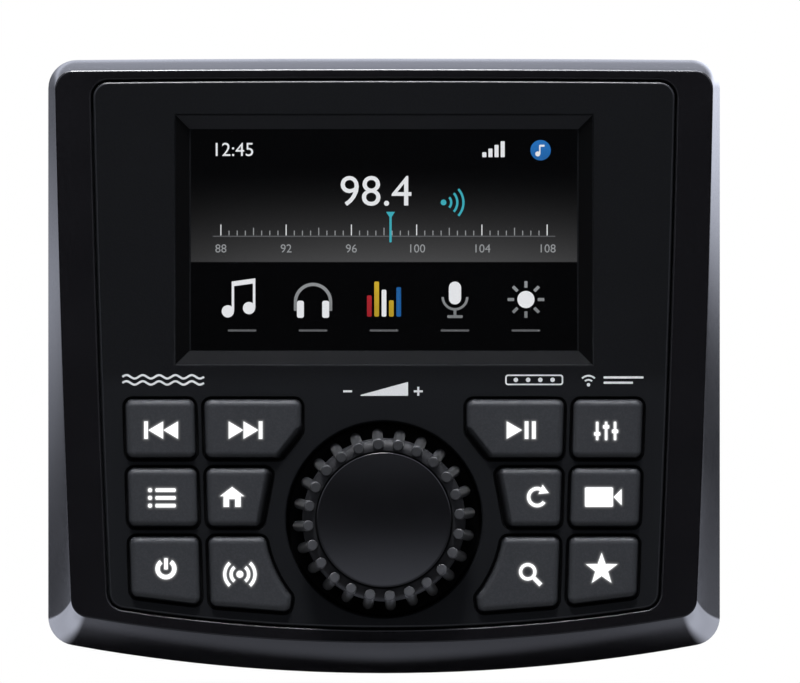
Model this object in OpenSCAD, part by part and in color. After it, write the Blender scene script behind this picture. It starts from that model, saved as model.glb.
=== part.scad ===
// Flush-mounted marine stereo: a trimmed fascia with a colour display, twelve lit keys and a
// push-and-turn knob, on a sealed metal chassis that passes through a cut-out in the dash.
//
// Frame: X to the right and Z up on the fascia, Y into the dash. The plane Y = 0 is the dash
// surface that the gasket seals on, and the origin is the centre of the four mounting studs.
// Outlines are drawn in X and Z and extruded along Y.

/* [Trim] */
// Width of the trim across its top corners
trim_w = 165; // [160:0.2:172]
// Height of the trim at its middle
trim_h = 151; // [146:0.5:156]
// How far the face stands in front of the dash
face_depth = 18; // [17:0.5:21]
// Narrowing of the outer edge towards the bottom, each side
outer_taper = 0; // [0:0.1:1.5]
// Radius of the bowed bottom edge
bottom_arc_r = 428; // [380:2:520]
// Drop of the top edge at its corners
top_crown = 0.4; // [0:0.1:1]
// Outward bow of the face's sides
side_crown = 0.4; // [0:0.1:0.8]
// Width of the bevel along the top
bevel_top = 2.8; // [2:0.1:3.5]
// Width of the bevel along the bottom
bevel_bottom = 7.8; // [6:0.1:9]
// Width of the side bevels at the top
bevel_side_top = 1.8; // [1.2:0.1:2.4]
// Width of the side bevels at the bottom
bevel_side_bottom = 6; // [4.4:0.1:7]
// Outer corner radius
outer_corner_r = 7; // [5:0.5:9]
// Corner radius of the face
face_corner_r = 4.4; // [4:0.1:6]
// Wall of the trim beside the housing
trim_wall = 1.8; // [1.5:0.1:2.2]
// Thickness of the trim's face ring
ring_t = 2.8; // [2.4:0.1:2.9]

/* [Front panel] */
// Width of the trim ring beside the panel
ring_side = 9.3; // [8.6:0.1:10]
// Width of the trim ring above the panel
ring_top = 2.75; // [2.2:0.05:3.2]
// Width of the trim ring below the panel
ring_bottom = 3.55; // [3.2:0.05:4.4]
// Corner radius of the panel
panel_corner_r = 3.8; // [3:0.1:5]
// Thickness of the panel's visible plate
panel_t = 3; // [2.6:0.1:3.4]
// Thickness of the flange round the panel
flange_t = 1.6; // [1.2:0.1:2]
// Groove between the panel and the trim
groove = 0.5; // [0.3:0.05:0.8]

/* [Display] */
// Margin between the display's bevel and the panel's upper corners
display_side = 20.4; // [19:0.1:24]
// Margin between the display's bevel and the panel's top edge
display_top = 8.55; // [7:0.05:10]
// Margin between the display's bevel and the first row of keys
display_gap = 8.5; // [8:0.1:10]
// Width of the bevel round the display
window_bevel = 3.3; // [2.6:0.1:3.8]
// Thickness of the front lens
lens_t = 1.8; // [1.2:0.1:2.2]
// Thickness of the display glass
glass_t = 1.4; // [1:0.1:1.8]
// Thickness of the backlight tray
tray_t = 3.7; // [3.2:0.1:4.2]

/* [Keys] */
// Height of a key
key_h = 14.7; // [13.8:0.1:15]
// Extra width of the outer keys over half of a row
key_lead = 1.55; // [1:0.05:2]
// Gap between keys
key_gap = 2.1; // [2:0.1:2.5]
// Height of the lowest row's base line above the panel's bottom edge
key_rise = 7.75; // [7:0.05:9]
// Margin between the outer keys and the panel's side
key_side_margin = 5.7; // [5.2:0.1:6.4]
// Margin between the lowest keys and the panel's bottom edge
key_bottom_margin = 3; // [2.6:0.1:3.6]
// How far the keys stand proud of the panel
key_proud = 2.2; // [1.6:0.1:2.8]
// Rounding of a key's front edges
key_round = 1.3; // [0.8:0.1:1.5]
// Corner radius of a key
key_corner_r = 1.9; // [1.6:0.1:2.4]
// Radius of the scoop that the inner keys leave round the knob
scoop_r = 29.25; // [28.8:0.05:30]
// Slope of that scoop across the key's front edge
scoop_slope = 2.4; // [1.6:0.1:2.8]
// Travel of a key
key_travel = 0.9; // [0.5:0.1:1.2]
// Clearance round a key in the panel
key_clearance = 0.3; // [0.2:0.05:0.4]

/* [Knob] */
// Height of the knob's centre above the panel's bottom edge
knob_rise = 26.5; // [26.2:0.05:27.2]
// Radius of the well round the knob
well_r = 24; // [23.6:0.1:24.6]
// Depth of the well below the face
well_depth = 7; // [6.4:0.1:7.4]
// Radius of the dished cap
cap_r = 16.35; // [15:0.05:16.5]
// Height of the knob in front of the face
knob_proud = 11; // [9:0.5:14]
// Ribs round the knob
rib_count = 24; // [16:1:28]
// Radius of a rib
rib_r = 1.4; // [1.1:0.05:1.5]
// Travel of the knob when it is pushed
knob_travel = 0.6; // [0.3:0.1:0.8]
// Radius of the encoder shaft
shaft_r = 3; // [2.5:0.1:3.2]

/* [Mounting and chassis] */
// Distance of a stud from the trim's side
stud_side = 15; // [14.4:0.1:15.6]
// Distance of a stud from the trim's top and bottom
stud_end = 25.5; // [23:0.25:27]
// Radius of a stud
stud_r = 2.5; // [2:0.1:2.6]
// Length of the studs behind the dash plane
stud_reach = 28; // [18:1:36]
// Thickness of the gasket on the dash
gasket_t = 1; // [0.8:0.1:1.4]
// Margin between the chassis and the trim's side
chassis_side = 24.5; // [24.2:0.1:26]
// Margin between the chassis and the trim's top and bottom
chassis_end = 23.5; // [22.75:0.25:25]
// Depth of the chassis behind the dash plane
chassis_depth = 44; // [40:0.5:60]
// Sheet thickness of the chassis
sheet_t = 1.2; // [0.8:0.1:1.5]
// Thickness of the back plate
plate_t = 2.5; // [2:0.1:3]
// Height of the heat sink's fins
fin_h = 10; // [6:0.5:14]
// Number of fins
fin_count = 10; // [7:1:12]

/* [Hidden] */

$fn = 72;
corner_steps = 6;
arc_steps = 6;
bottom_points = 9;
side_points = 3;
trim_rings = 6;
over = 0.5;            // how far a cutting shape runs past what it cuts

slip = 0.3;            // clearance between housings that slide together
seat = 0.05;           // clearance of a fastener, shaft or pad in its hole
thread_gap = 0.1;      // clearance of a screw in a hole that it only passes through

// Planes along Y, from the fascia towards the dash
face_y = -face_depth;
panel_back = face_y + panel_t;
flange_back = panel_back + flange_t;
seal_t = 0.6;
rim_y = flange_back + seal_t;
floor_t = 3;
housing_back = -gasket_t;
floor_front = housing_back - floor_t;

// Half widths, top and bottom of the three fascia outlines
outer_top = trim_h / 2;
outer_bottom = -trim_h / 2;
outer_half_top = trim_w / 2;
outer_half_bottom = outer_half_top - outer_taper;
face_top = outer_top - bevel_top;
face_bottom = outer_bottom + bevel_bottom;
face_half_top = outer_half_top - bevel_side_top;
face_half_bottom = outer_half_bottom - bevel_side_bottom;
panel_top = face_top - ring_top;
panel_bottom = face_bottom + ring_bottom;
panel_half_top = face_half_top - ring_side;
panel_half_bottom = face_half_bottom - ring_side;

// Layout of the panel: the keys and the knob stand on its bottom edge, the display fills the rest
key_top = -(panel_bottom + key_rise + 3 * key_h + 2 * key_gap);
knob_drop = -(panel_bottom + knob_rise);
window_low = -key_top + display_gap + window_bevel;
window_high = panel_top - display_top - window_bevel;
window_h = window_high - window_low;
window_z = (window_high + window_low) / 2;
window_w = 2 * (panel_half_top - display_side - window_bevel);

// Studs and chassis, from the trim's outside
stud_span_x = trim_w - 2 * stud_side;
stud_span_z = trim_h - 2 * stud_end;
chassis_w = trim_w - 2 * chassis_side;
chassis_h = trim_h - 2 * chassis_end;

// Points and outlines

function lerp(a, b, t) = a + (b - a) * t;
function unit(v) = v / norm(v);
function cross2(a, b) = a.x * b.y - a.y * b.x;
function around(list, i) = list[(i + len(list)) % len(list)];
function flat(p) = [p.x, p.y];
function wrap180(a) = a > 180 ? a - 360 : a <= -180 ? a + 360 : a;

// How far the bowed bottom edge has risen at x
function bow(x) = x * x / (2 * bottom_arc_r);

// Fascia outline as [x, z, corner radius], anticlockwise from the lower left
function fascia(half_top, half_bottom, top, bottom, radius, crown) =
    let (low = bottom + bow(half_bottom), high = top - top_crown)
    let (side = [for (i = [1:side_points]) let (t = i / (side_points + 1))
        [lerp(half_bottom, half_top, t) + crown * 4 * t * (1 - t), lerp(low, high, t), 0]])
    concat(
        [[-half_bottom, low, radius]],
        [for (i = [0:bottom_points - 1]) let (x = half_bottom * 0.84 * (2 * i / (bottom_points - 1) - 1))
            [x, bottom + bow(x), 0]],
        [[half_bottom, low, radius]],
        side,
        [[half_top, high, radius]],
        [for (t = [0.6, 0, -0.6]) [half_top * t, top - top_crown * t * t, 0]],
        [[-half_top, high, radius]],
        [for (i = [side_points - 1:-1:0]) [-side[i].x, side[i].y, 0]]
    );

// Moves each edge of an anticlockwise outline inwards by its own distance
function inset_edges(corners, dist) = [
    for (i = [0:len(corners) - 1])
        let (p = flat(corners[i]), d1 = around(dist, i - 1), d2 = dist[i])
        let (u = unit(p - flat(around(corners, i - 1))), v = unit(flat(around(corners, i + 1)) - p))
        let (n1 = [-u.y, u.x], turn = cross2(u, v))
        let (q = abs(turn) < 0.002 ? p + n1 * (d1 + d2) / 2
            : p + (v * d1 - u * d2) / turn)
        [q.x, q.y, corners[i].z <= 0 ? 0 : max(0.3, corners[i].z - (d1 + d2) / 2)]
];

function inset(corners, d) = inset_edges(corners, [for (c = corners) d]);

// Replaces each corner that has a radius with an arc
function rounded(corners) = [
    for (i = [0:len(corners) - 1])
        let (p = flat(corners[i]), r = corners[i].z)
        let (a = unit(flat(around(corners, i - 1)) - p), b = unit(flat(around(corners, i + 1)) - p))
        let (half = acos(max(-1, min(1, a * b))) / 2)
        each r <= 0 ? [p] : corner_arc(p, a, b, r, half)
];

function corner_arc(p, a, b, r, half) =
    let (c = p + unit(a + b) * r / sin(half), s = p + a * r / tan(half) - c, e = p + b * r / tan(half) - c)
    let (from = atan2(s.y, s.x), sweep = wrap180(atan2(e.y, e.x) - from))
    [for (k = [0:corner_steps]) c + r * [cos(from + sweep * k / corner_steps),
        sin(from + sweep * k / corner_steps)]];

function box_corners(w, h, r = 0) =
    [[-w / 2, -h / 2, r], [w / 2, -h / 2, r], [w / 2, h / 2, r], [-w / 2, h / 2, r]];

outer_line = fascia(outer_half_top, outer_half_bottom, outer_top, outer_bottom, outer_corner_r, 0);
face_line = fascia(face_half_top, face_half_bottom, face_top, face_bottom, face_corner_r, side_crown);
panel_line = fascia(panel_half_top, panel_half_bottom, panel_top, panel_bottom, panel_corner_r, side_crown);
cavity_line = inset(face_line, trim_wall);
housing_line = inset(face_line, trim_wall + slip);

// Solids from outlines

// Extrudes a drawing in X and Z from one Y plane to another
module slab(front, back) {
    translate([0, back, 0]) rotate([90, 0, 0]) linear_extrude(back - front) children();
}

module outline(corners) {
    polygon(rounded(corners));
}

module at(x, z) {
    translate([x, 0, z]) children();
}

// Cylinder along Y
module rod(r, front, back) {
    translate([0, back, 0]) rotate([90, 0, 0]) cylinder(r = r, h = back - front);
}

// Cutting cylinder that runs past both ends
module hole(r, front, back) {
    rod(r, front - over, back + over);
}

module each_at(points) {
    for (p = points) at(p.x, p.y) children();
}

// Tube along Y
module tube(r_in, r_out, front, back) {
    difference() {
        rod(r_out, front, back);
        hole(r_in, front, back);
    }
}

// Solid of revolution about a Y axis, from a profile of [radius, y]
module turned(profile) {
    rotate([90, 0, 0]) rotate_extrude() polygon([for (p = profile) [p.x, -p.y]]);
}

// Closed solid through outlines with equal point counts, from back to front
module loft(planes, outlines) {
    n = len(outlines[0]);
    m = len(outlines);
    points = [for (k = [0:m - 1]) for (p = outlines[k]) [p.x, planes[k], p.y]];
    sides = [for (k = [0:m - 2]) for (i = [0:n - 1]) let (j = (i + 1) % n, a = k * n, b = a + n)
        each [[a + j, a + i, b + i], [a + j, b + i, b + j]]];
    caps = [[for (i = [0:n - 1]) i], [for (i = [n - 1:-1:0]) (m - 1) * n + i]];
    polyhedron(points, concat(caps, sides));
}

// Pan-head screw along Y, with its head towards the front or the back
module screw(shank_r, length, head_r, head_h, head_seat, towards_front) {
    dir = towards_front ? 1 : -1;
    rod(head_r, min(head_seat, head_seat - dir * head_h), max(head_seat, head_seat - dir * head_h));
    rod(shank_r, min(head_seat, head_seat + dir * length), max(head_seat, head_seat + dir * length));
}

// Trim

module trim_bezel() {
    planes = [for (k = [0:trim_rings]) lerp(housing_back, face_y, k / trim_rings)];
    rings = [for (k = [0:trim_rings])
        rounded(bevel_line(k / trim_rings))];
    color([0.1, 0.1, 0.11]) difference() {
        loft(planes, rings);
        slab(face_y - over, housing_back + over) outline(inset(panel_line, -groove));
        slab(face_y + ring_t, housing_back + over) outline(cavity_line);
        slab(snap_y - snap_w / 2 - slip, snap_y + snap_w / 2 + slip)
            outline(inset(cavity_line, -snap_depth));
    }
}
// Outline of the bevel, straight in X and bowed outwards in Z, from the dash to the face
function bevel_line(t) = [for (i = [0:len(outer_line) - 1])
    let (o = outer_line[i], f = face_line[i], rise = lerp(t, t * t * t, bevel_bow))
    [lerp(o.x, f.x, t), lerp(o.y, f.y, rise), lerp(o.z, f.z, t)]];
bevel_bow = 0.4;       // share of the bevel's height that is drawn as a cubic
snap_y = (housing_back + rim_y) / 2;
snap_w = 1.2;
snap_depth = 0.5;

// Front panel, with the display window, key openings, knob well and screw posts

module front_panel() {
    color([0.1, 0.105, 0.115]) difference() {
        union() {
            slab(face_y, panel_back) outline(panel_line);
            difference() {
                slab(panel_back, flange_back) outline(housing_line);
                slab(panel_back - over, flange_back + over) lens_pocket();
                slab(panel_back - over, flange_back + over) keypad_pocket();
            }
            at(0, -knob_drop) rod(well_r + well_wall, face_y + panel_t / 2, well_back);
            each_at(panel_posts) rod(post_r, panel_back, floor_front);
            each_at(bracket_posts) rod(small_post_r, panel_back, tray_back);
            each_at(board_posts) rod(small_post_r, panel_back, board_front);
        }
        loft([panel_back + over, panel_back, face_y, face_y - over], [for (d = [0, 0, 1, 1])
            rounded([for (c = box_corners(window_w + 2 * d * window_bevel, window_h + 2 * d * window_bevel))
                [c.x, c.y + window_z, 0]])]);
        for (k = key_list) slab(face_y - over, panel_back + over)
            outline(inset(key_corners(k), -key_clearance));
        at(0, -knob_drop) {
            rod(well_r, face_y - over, well_floor);
            hole(bushing_r + thread_gap, well_floor, well_back);
        }
        each_at(panel_posts) rod(panel_screw_r + seat, floor_front - post_hole, floor_front + over);
        each_at(bracket_posts) rod(small_screw_r + seat, tray_back - small_hole, tray_back + over);
        each_at(board_posts) rod(small_screw_r + seat, board_front - small_hole, board_front + over);
    }
}
well_wall = 1.6;
well_floor_t = 1.5;
well_floor = face_y + well_depth;
well_back = well_floor + well_floor_t;
post_r = 3;
small_post_r = 2.2;
post_hole = 8.4;
small_hole = 4.6;
panel_screw_r = 1.25;
small_screw_r = 1;
post_inset = 6.2;      // from the housing's outer wall to a post's centre
post_below = 16;       // from a lower stud up to the nearest post
post_above = 14;       // from an upper stud down to the nearest post
post_middle = 2;
post_rows = [post_below - stud_span_z / 2, post_middle, stud_span_z / 2 - post_above];
panel_posts = [for (z = post_rows) for (s = [-1, 1]) [s * (housing_half(z) - post_inset), z]];

// Half width of the housing's outer wall at a height
function face_half(z) = let (low = face_bottom + bow(face_half_bottom), high = face_top - top_crown)
    lerp(face_half_bottom, face_half_top, (z - low) / (high - low));
function housing_half(z) = face_half(z) - trim_wall - slip;
function panel_half(z) = face_half(z) - ring_side + side_crown;

module lens_pocket() {
    translate([0, window_z]) outline(box_corners(lens_w + 2 * slip, lens_h + 2 * slip, 1.5));
}

// The part of the panel behind the keys
module keypad_area(margin, top) {
    intersection() {
        outline(inset(panel_line, margin));
        translate([-trim_w, -2 * trim_h - top]) square([2 * trim_w, 2 * trim_h]);
    }
}

module keypad_pocket() {
    keypad_area(1.6, -board_top - slip);
}

// Display

lens_gasket_t = 0.5;
lens_front = panel_back + lens_gasket_t;
lens_back = lens_front + lens_t;
tray_back = lens_back + tray_t;
lens_border = 6;       // glued border round the visible window
lens_w = window_w + 2 * lens_border;
lens_h = window_h + 2 * lens_border;
tray_side = 5.05;      // border of the backlight tray round the visible window
tray_end = 6.2;
tray_w = window_w + 2 * tray_side;
tray_h = window_h + 2 * tray_end;
glass_w = tray_w - 2.6;
glass_h = tray_h - 4.8;
bracket_end = 13.4;    // how much shorter the bracket is than the tray, at each end
bracket_h = tray_h - 2 * bracket_end;
bracket_t = 1;
bracket_side = 22;     // width of the bracket's two uprights over the tray
bracket_bar = 8;
bracket_ear = 10.4;    // how far the bracket's ears reach past the tray
post_gap = 2.5;        // between the tray and a bracket post
bracket_posts = [for (z = [window_z - bracket_h / 3, window_z + bracket_h / 3]) for (s = [-1, 1])
    [s * (tray_w / 2 + small_post_r + post_gap), z]];

module framed(w, h, hole_w, hole_h, r) {
    translate([0, window_z]) difference() {
        outline(box_corners(w, h, r));
        square([hole_w, hole_h], center = true);
    }
}

module lens_gasket() {
    color([0.05, 0.05, 0.05]) slab(panel_back, lens_front)
        framed(lens_w, lens_h, window_w + 1, window_h + 1, 1);
}

module display_lens() {
    color([0.08, 0.09, 0.1, 0.5]) slab(lens_front, lens_back) translate([0, window_z])
        outline(box_corners(lens_w, lens_h, 1.5));
}

module lcd_glass() {
    color([0.02, 0.02, 0.03]) slab(lens_back, lens_back + glass_t) translate([0, window_z])
        square([glass_w, glass_h], center = true);
}

module backlight_tray() {
    color([0.7, 0.71, 0.72]) difference() {
        slab(lens_back, tray_back) translate([0, window_z]) outline(box_corners(tray_w, tray_h, 1));
        slab(lens_back - over, lens_back + glass_t) translate([0, window_z])
            square([glass_w + 2 * seat, glass_h + 2 * seat], center = true);
    }
}

module display_bracket() {
    color([0.75, 0.75, 0.77]) difference() {
        slab(tray_back, tray_back + bracket_t)
            framed(tray_w + 2 * bracket_ear, bracket_h, tray_w - 2 * bracket_side,
                bracket_h - 2 * bracket_bar, 2);
        each_at(bracket_posts) hole(small_screw_r + thread_gap, tray_back, tray_back + bracket_t);
    }
}

// Keys
// A key is [column, row, side], with column 0 outside and side -1 on the left

key_list = [for (s = [-1, 1]) for (row = [0:2]) for (col = [0, 1]) [col, row, s]];

function row_top(row) = -key_top - row * (key_h + key_gap);
function row_low(row, x) = row < 2 ? row_top(row) - key_h : panel_bottom + bow(x) + key_bottom_margin;
function column_left(col, z) = -(panel_half(z) - key_side_margin) + col * (key_w + key_gap);
function scoop_x(z) = -sqrt(scoop_r * scoop_r - pow(z + knob_drop, 2));
function scoop_height(x) = sqrt(scoop_r * scoop_r - x * x);

// Both columns share the room beside the scoop at the knob's height
key_w = (panel_half(-knob_drop) - key_side_margin - key_gap - scoop_r) / 2 + key_lead;
inner_edge = 20.1;     // straight inner end of the upper keys
tip_h = 4.69;          // height of the lower inner keys' short side, up to the scoop
tip_edge = sqrt(pow(scoop_r, 2) - pow(knob_rise - key_bottom_margin - tip_h, 2));
tip_corner_r = 2;

// Outer key, on the left
function plain_key(row) =
    let (zt = row_top(row), zm = row_low(row, column_left(0, row_top(row)) + key_w / 2))
    let (x0 = column_left(0, zm), x1 = x0 + key_w)
    [[x0, row_low(row, x0), key_corner_r], [x1, row_low(row, x1), key_corner_r],
        [column_left(0, zt) + key_w, zt, key_corner_r], [column_left(0, zt), zt, key_corner_r]];

// Points along the scoop from one angle about the knob to another
function scoop_arc(from, to) = [for (k = [0:arc_steps]) let (a = lerp(from, to, k / arc_steps))
    [scoop_r * cos(a), scoop_r * sin(a) - knob_drop, k == 0 || k == arc_steps ? key_corner_r : 0]];

function scoop_angle(x, z) = let (a = atan2(z + knob_drop, x)) a < 0 ? a + 360 : a;

// Inner key, on the left: its edges from low_edge to high_edge run along the scoop
function scooped_key(row) =
    let (zt = row_top(row), xb = column_left(1, row_low(row, -tip_edge)), zb = row_low(row, xb))
    let (end = row == 2 ? scoop_angle(-tip_edge, -scoop_height(tip_edge) - knob_drop)
        : scoop_angle(scoop_x(zb), zb))
    let (start = row == 0 ? scoop_angle(-inner_edge, scoop_height(inner_edge) - knob_drop)
        : scoop_angle(scoop_x(zt), zt))
    concat(
        [[xb, zb, key_corner_r]],
        row == 2 ? [[-tip_edge - 0.5, row_low(row, tip_edge), tip_corner_r]] : [],
        scoop_arc(end, start),
        row == 0 ? [[-inner_edge, zt, key_corner_r]] : [],
        [[column_left(1, zt), zt, key_corner_r]]
    );

function left_key(k) = k[0] == 0 ? plain_key(k[1]) : scooped_key(k[1]);

// Mirrored outlines are read backwards, so that they stay anticlockwise
function key_corners(k) = let (c = left_key(k), n = len(c))
    k[2] < 0 ? c : [for (i = [n - 1:-1:0]) [-c[i].x, c[i].y, c[i].z]];

// True for the edges of a key that follow the scoop
function on_scoop(p) = abs(norm(flat(p) + [0, knob_drop]) - scoop_r) < 0.01;

// Inset of each edge of a key: plain edges round over, scoop edges slope back from the knob
function edge_insets(corners, plain, scoop) = [for (i = [0:len(corners) - 1])
    on_scoop(corners[i]) && on_scoop(around(corners, i + 1)) ? scoop : plain];

function key_middle(k) = let (z = k[1] < 2 ? row_top(k[1]) - key_h / 2 : row_top(2) - key_h * 0.6)
    let (left = column_left(k[0], z))
    [k[2] * -(k[0] == 0 ? left + key_w / 2 : (left - scoop_r - (k[1] == 1 ? 0.6 : -3.6)) / 2), z];

key_flange = 0.8;
key_flange_t = 1;
plunger_r = 2.6;
plunger_h = 2.4;
key_rings = 3;         // facets across the rounded front edge
flange_seat = panel_back;
plunger_end = flange_seat + key_flange_t + plunger_h;

module key(col, row, side) {
    k = [col, row, side];
    corners = key_corners(k);
    front = face_y - key_proud;
    turn = [for (i = [0:key_rings]) 90 * i / key_rings];
    planes = concat([flange_seat + key_flange_t / 2],
        [for (a = turn) front + key_round * (1 - sin(a))]);
    rings = concat([rounded(corners)],
        [for (a = turn) rounded(inset_edges(corners,
            edge_insets(corners, key_round * (1 - cos(a)), scoop_slope * lerp(1 - cos(a), a / 90, 0.5))))]);
    color([0.2, 0.205, 0.22]) union() {
        loft(planes, rings);
        slab(flange_seat, flange_seat + key_flange_t) outline(inset(corners, -key_flange));
        at(key_middle(k).x, key_middle(k).y) rod(plunger_r, flange_seat + key_flange_t / 2, plunger_end);
    }
}

// Keypad behind the keys

dome_h = 2.2;
dome_r = 4.8;
dome_wall = 0.8;
mat_t = 1;
board_t = 1.6;
mat_front = plunger_end + dome_h;
board_front = mat_front + mat_t;
board_back = board_front + board_t;
board_top = -key_top + key_flange + 1.2;
board_post_x = 12;
board_posts = [for (s = [-1, 1]) [s * board_post_x, board_top - small_post_r - 1.2]];
small_head_r = 1.9;
small_head_h = 1.4;
small_length = 5;
led_size = [2, 1.25];
led_h = 0.9;
led_offset = 6.2;
function led_place(k) = key_middle(k) + [k[2] * led_offset, 0];
encoder_w = 12;
encoder_window = encoder_w + 1.5;

module keypad_mat() {
    color([0.3, 0.3, 0.31]) difference() {
        union() {
            slab(mat_front, board_front) keypad_area(2.6, -board_top);
            for (k = key_list) at(key_middle(k).x, key_middle(k).y)
                turned([[0, plunger_end], [plunger_r + 0.6, plunger_end], [dome_r, mat_front + mat_t / 2],
                    [0, mat_front + mat_t / 2]]);
        }
        for (k = key_list) at(key_middle(k).x, key_middle(k).y)
            turned([[0, plunger_end + dome_wall], [plunger_r, plunger_end + dome_wall],
                [dome_r - dome_wall, board_front], [dome_r - dome_wall, board_front + over],
                [0, board_front + over]]);
        for (k = key_list) slab(mat_front - over, board_front + over) translate(led_place(k))
            square(led_size + [1, 1], center = true);
        at(0, -knob_drop) slab(mat_front - over, board_front + over) square(encoder_window, center = true);
        each_at(board_posts) hole(small_post_r + slip, mat_front, board_front);
    }
}

module key_board() {
    color([0.07, 0.25, 0.14]) difference() {
        slab(board_front, board_back) keypad_area(2.2, -board_top);
        at(0, -knob_drop) slab(board_front - over, board_back + over) square(encoder_window, center = true);
        each_at(board_posts) hole(small_screw_r + thread_gap, board_front, board_back);
    }
}

module key_leds() {
    color([0.95, 0.95, 0.9]) for (k = key_list) slab(board_front - led_h, board_front)
        translate(led_place(k)) square(led_size, center = true);
}

module inner_screws() {
    color([0.6, 0.6, 0.62]) {
        each_at(bracket_posts)
            screw(small_screw_r, small_length, small_head_r, small_head_h, tray_back + bracket_t, false);
        each_at(board_posts)
            screw(small_screw_r, small_length, small_head_r, small_head_h, board_back, false);
    }
}

// Knob, shaft and rotary encoder

grip_inner_r = cap_r + 0.4;
grip_core_r = cap_r + 3.65;
hub_r = cap_r + 1.25;
knob_front = face_y - knob_proud;
cap_seat = knob_front + 2.3;
hub_web = 2;
hub_wall = 1.6;
hub_boss_r = 5.5;
grip_front = knob_front + 0.9;
grip_back = well_floor - 2.4;
rib_lean = 2.8;        // how far a rib leans out between its front and back ends
rib_front_r = cap_r + 1.85;
rib_phase = -4.4;
bushing_r = 3.5;
bushing_end = well_floor - 4;
nut_t = 2;
nut_flats = 10;
washer_t = 1;
rotor_r = 4.5;
rotor_t = 3;
drive_w = 3.4;         // square drive between the shaft and the rotor
encoder_depth = 6.5;
encoder_back = well_back + encoder_depth;
rotor_front = well_back + 1;
shaft_end = rotor_front + rotor_t + 0.5;
run_gap = 0.06;        // running clearance of the shaft and the rotor
push_gap = 0.4;        // what is left below the shaft when the knob is pushed in
seal_r = 6.6;
encoder_board_w = 22;
encoder_board_h = 20;

module knob_at() {
    at(0, -knob_drop) children();
}

module knob_cap() {
    dish = 1.1;
    dish_r = (cap_r * cap_r + dish * dish) / (2 * dish);
    rim = 0.5;
    color([0.09, 0.09, 0.1]) knob_at() difference() {
        turned([[0, knob_front], [cap_r - rim, knob_front], [cap_r, knob_front + rim], [cap_r, cap_seat],
            [0, cap_seat]]);
        translate([0, knob_front + dish - dish_r, 0]) sphere(r = dish_r, $fn = 200);
    }
}

module knob_grip() {
    lip = [for (a = [0:30:90]) [grip_core_r - lip_w * (1 - sin(a)), grip_front + lip_depth * (1 - cos(a))]];
    color([0.22, 0.225, 0.235]) knob_at() difference() {
        union() {
            turned(concat([[grip_inner_r, grip_front]], lip,
                [[grip_core_r, grip_back], [grip_inner_r, grip_back]]));
            for (i = [0:rib_count - 1]) rotate([0, i * 360 / rib_count + rib_phase, 0]) rib();
        }
        rod(hub_r + seat, cap_seat - seat, grip_back + over);
        rod(grip_inner_r, grip_front - over, cap_seat);
    }
}

lip_w = 2.75;          // rounded front edge of the grip between its ribs
lip_depth = 5;

// A round rib that leans out towards the back
module rib() {
    length = grip_back - knob_front;
    translate([0, grip_back, rib_front_r + rib_lean]) rotate([90 + atan(rib_lean / length), 0, 0])
        cylinder(r = rib_r, h = norm([rib_lean, length]) - 0.4);
}

module knob_hub() {
    boss_end = bushing_end - knob_travel - push_gap;
    color([0.12, 0.12, 0.13]) knob_at() turned([
        [shaft_r + seat, cap_seat], [hub_r, cap_seat], [hub_r, grip_back], [hub_r - hub_wall, grip_back],
        [hub_r - hub_wall, cap_seat + hub_web], [hub_boss_r, cap_seat + hub_web], [hub_boss_r, boss_end],
        [shaft_r + seat, boss_end]
    ]);
}

module encoder_shaft() {
    color([0.75, 0.75, 0.76]) knob_at() union() {
        rod(shaft_r, cap_seat, rotor_front - knob_travel - push_gap);
        slab(rotor_front - knob_travel - push_gap - over, shaft_end) square(drive_w, center = true);
    }
}

module encoder_rotor() {
    color([0.85, 0.8, 0.7]) knob_at() difference() {
        rod(rotor_r, rotor_front, rotor_front + rotor_t);
        slab(rotor_front - over, rotor_front + rotor_t + over) square(drive_w + 2 * run_gap, center = true);
    }
}

module encoder_body() {
    color([0.35, 0.35, 0.37]) knob_at() difference() {
        union() {
            slab(well_back, encoder_back) square(encoder_w, center = true);
            rod(bushing_r, bushing_end, well_back + over);
        }
        hole(shaft_r + run_gap, bushing_end, rotor_front);
        rod(rotor_r + run_gap, rotor_front - run_gap, rotor_front + rotor_t + run_gap);
        rod(drive_w, rotor_front + rotor_t, shaft_end + knob_travel + push_gap);
    }
}

module encoder_nut() {
    color([0.7, 0.7, 0.72]) knob_at() difference() {
        rotate([0, 30, 0]) slab(well_floor - washer_t - nut_t, well_floor - washer_t)
            circle(d = nut_flats / cos(30), $fn = 6);
        rod(bushing_r + seat, well_floor - washer_t - nut_t - over, well_floor);
    }
}

module shaft_seal() {
    color([0.04, 0.04, 0.04]) knob_at() tube(bushing_r + seat, seal_r, well_floor - washer_t, well_floor);
}

module encoder_board() {
    color([0.07, 0.25, 0.14]) knob_at() slab(encoder_back, encoder_back + board_t)
        outline(box_corners(encoder_board_w, encoder_board_h, 1));
}

// Front housing that carries the fascia and clamps on the dash

housing_wall = 2;
aperture_gap = 0.3;
chassis_lip = 4.5;
lip_screw_r = 1.3;
panel_head_r = 2.6;
panel_head_h = 2;
panel_head_seat = housing_back - panel_head_h - 0.2;
pillar_r = 1;
studs = [for (x = [-1, 1]) for (z = [-1, 1]) [x * stud_span_x / 2, z * stud_span_z / 2]];
stud_head_r = 4;
stud_head_h = 2.4;
shoulder_r = stud_r + 0.5;   // pressed into the floor
lip_head_r = 2.3;
lip_head_h = 1.6;
lip_screw_x = (chassis_w + chassis_lip) / 2;
lip_screw_z = (chassis_h + chassis_lip) / 2;
lip_screws = [for (x = [-1, 1]) for (z = [-1, 1]) each [[x * lip_screw_x, z * 0.3 * chassis_h],
    [x * 0.3 * chassis_w, z * lip_screw_z]]];
pillar_x = chassis_w / 2 + chassis_lip + pillar_r + 0.9;
pillar_high = 17.65;   // above the knob's centre
pillar_low = 7.35;     // below it
pillars = [for (z = [pillar_high, -pillar_low]) for (s = [-1, 1]) [s * pillar_x, z - knob_drop]];

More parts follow.
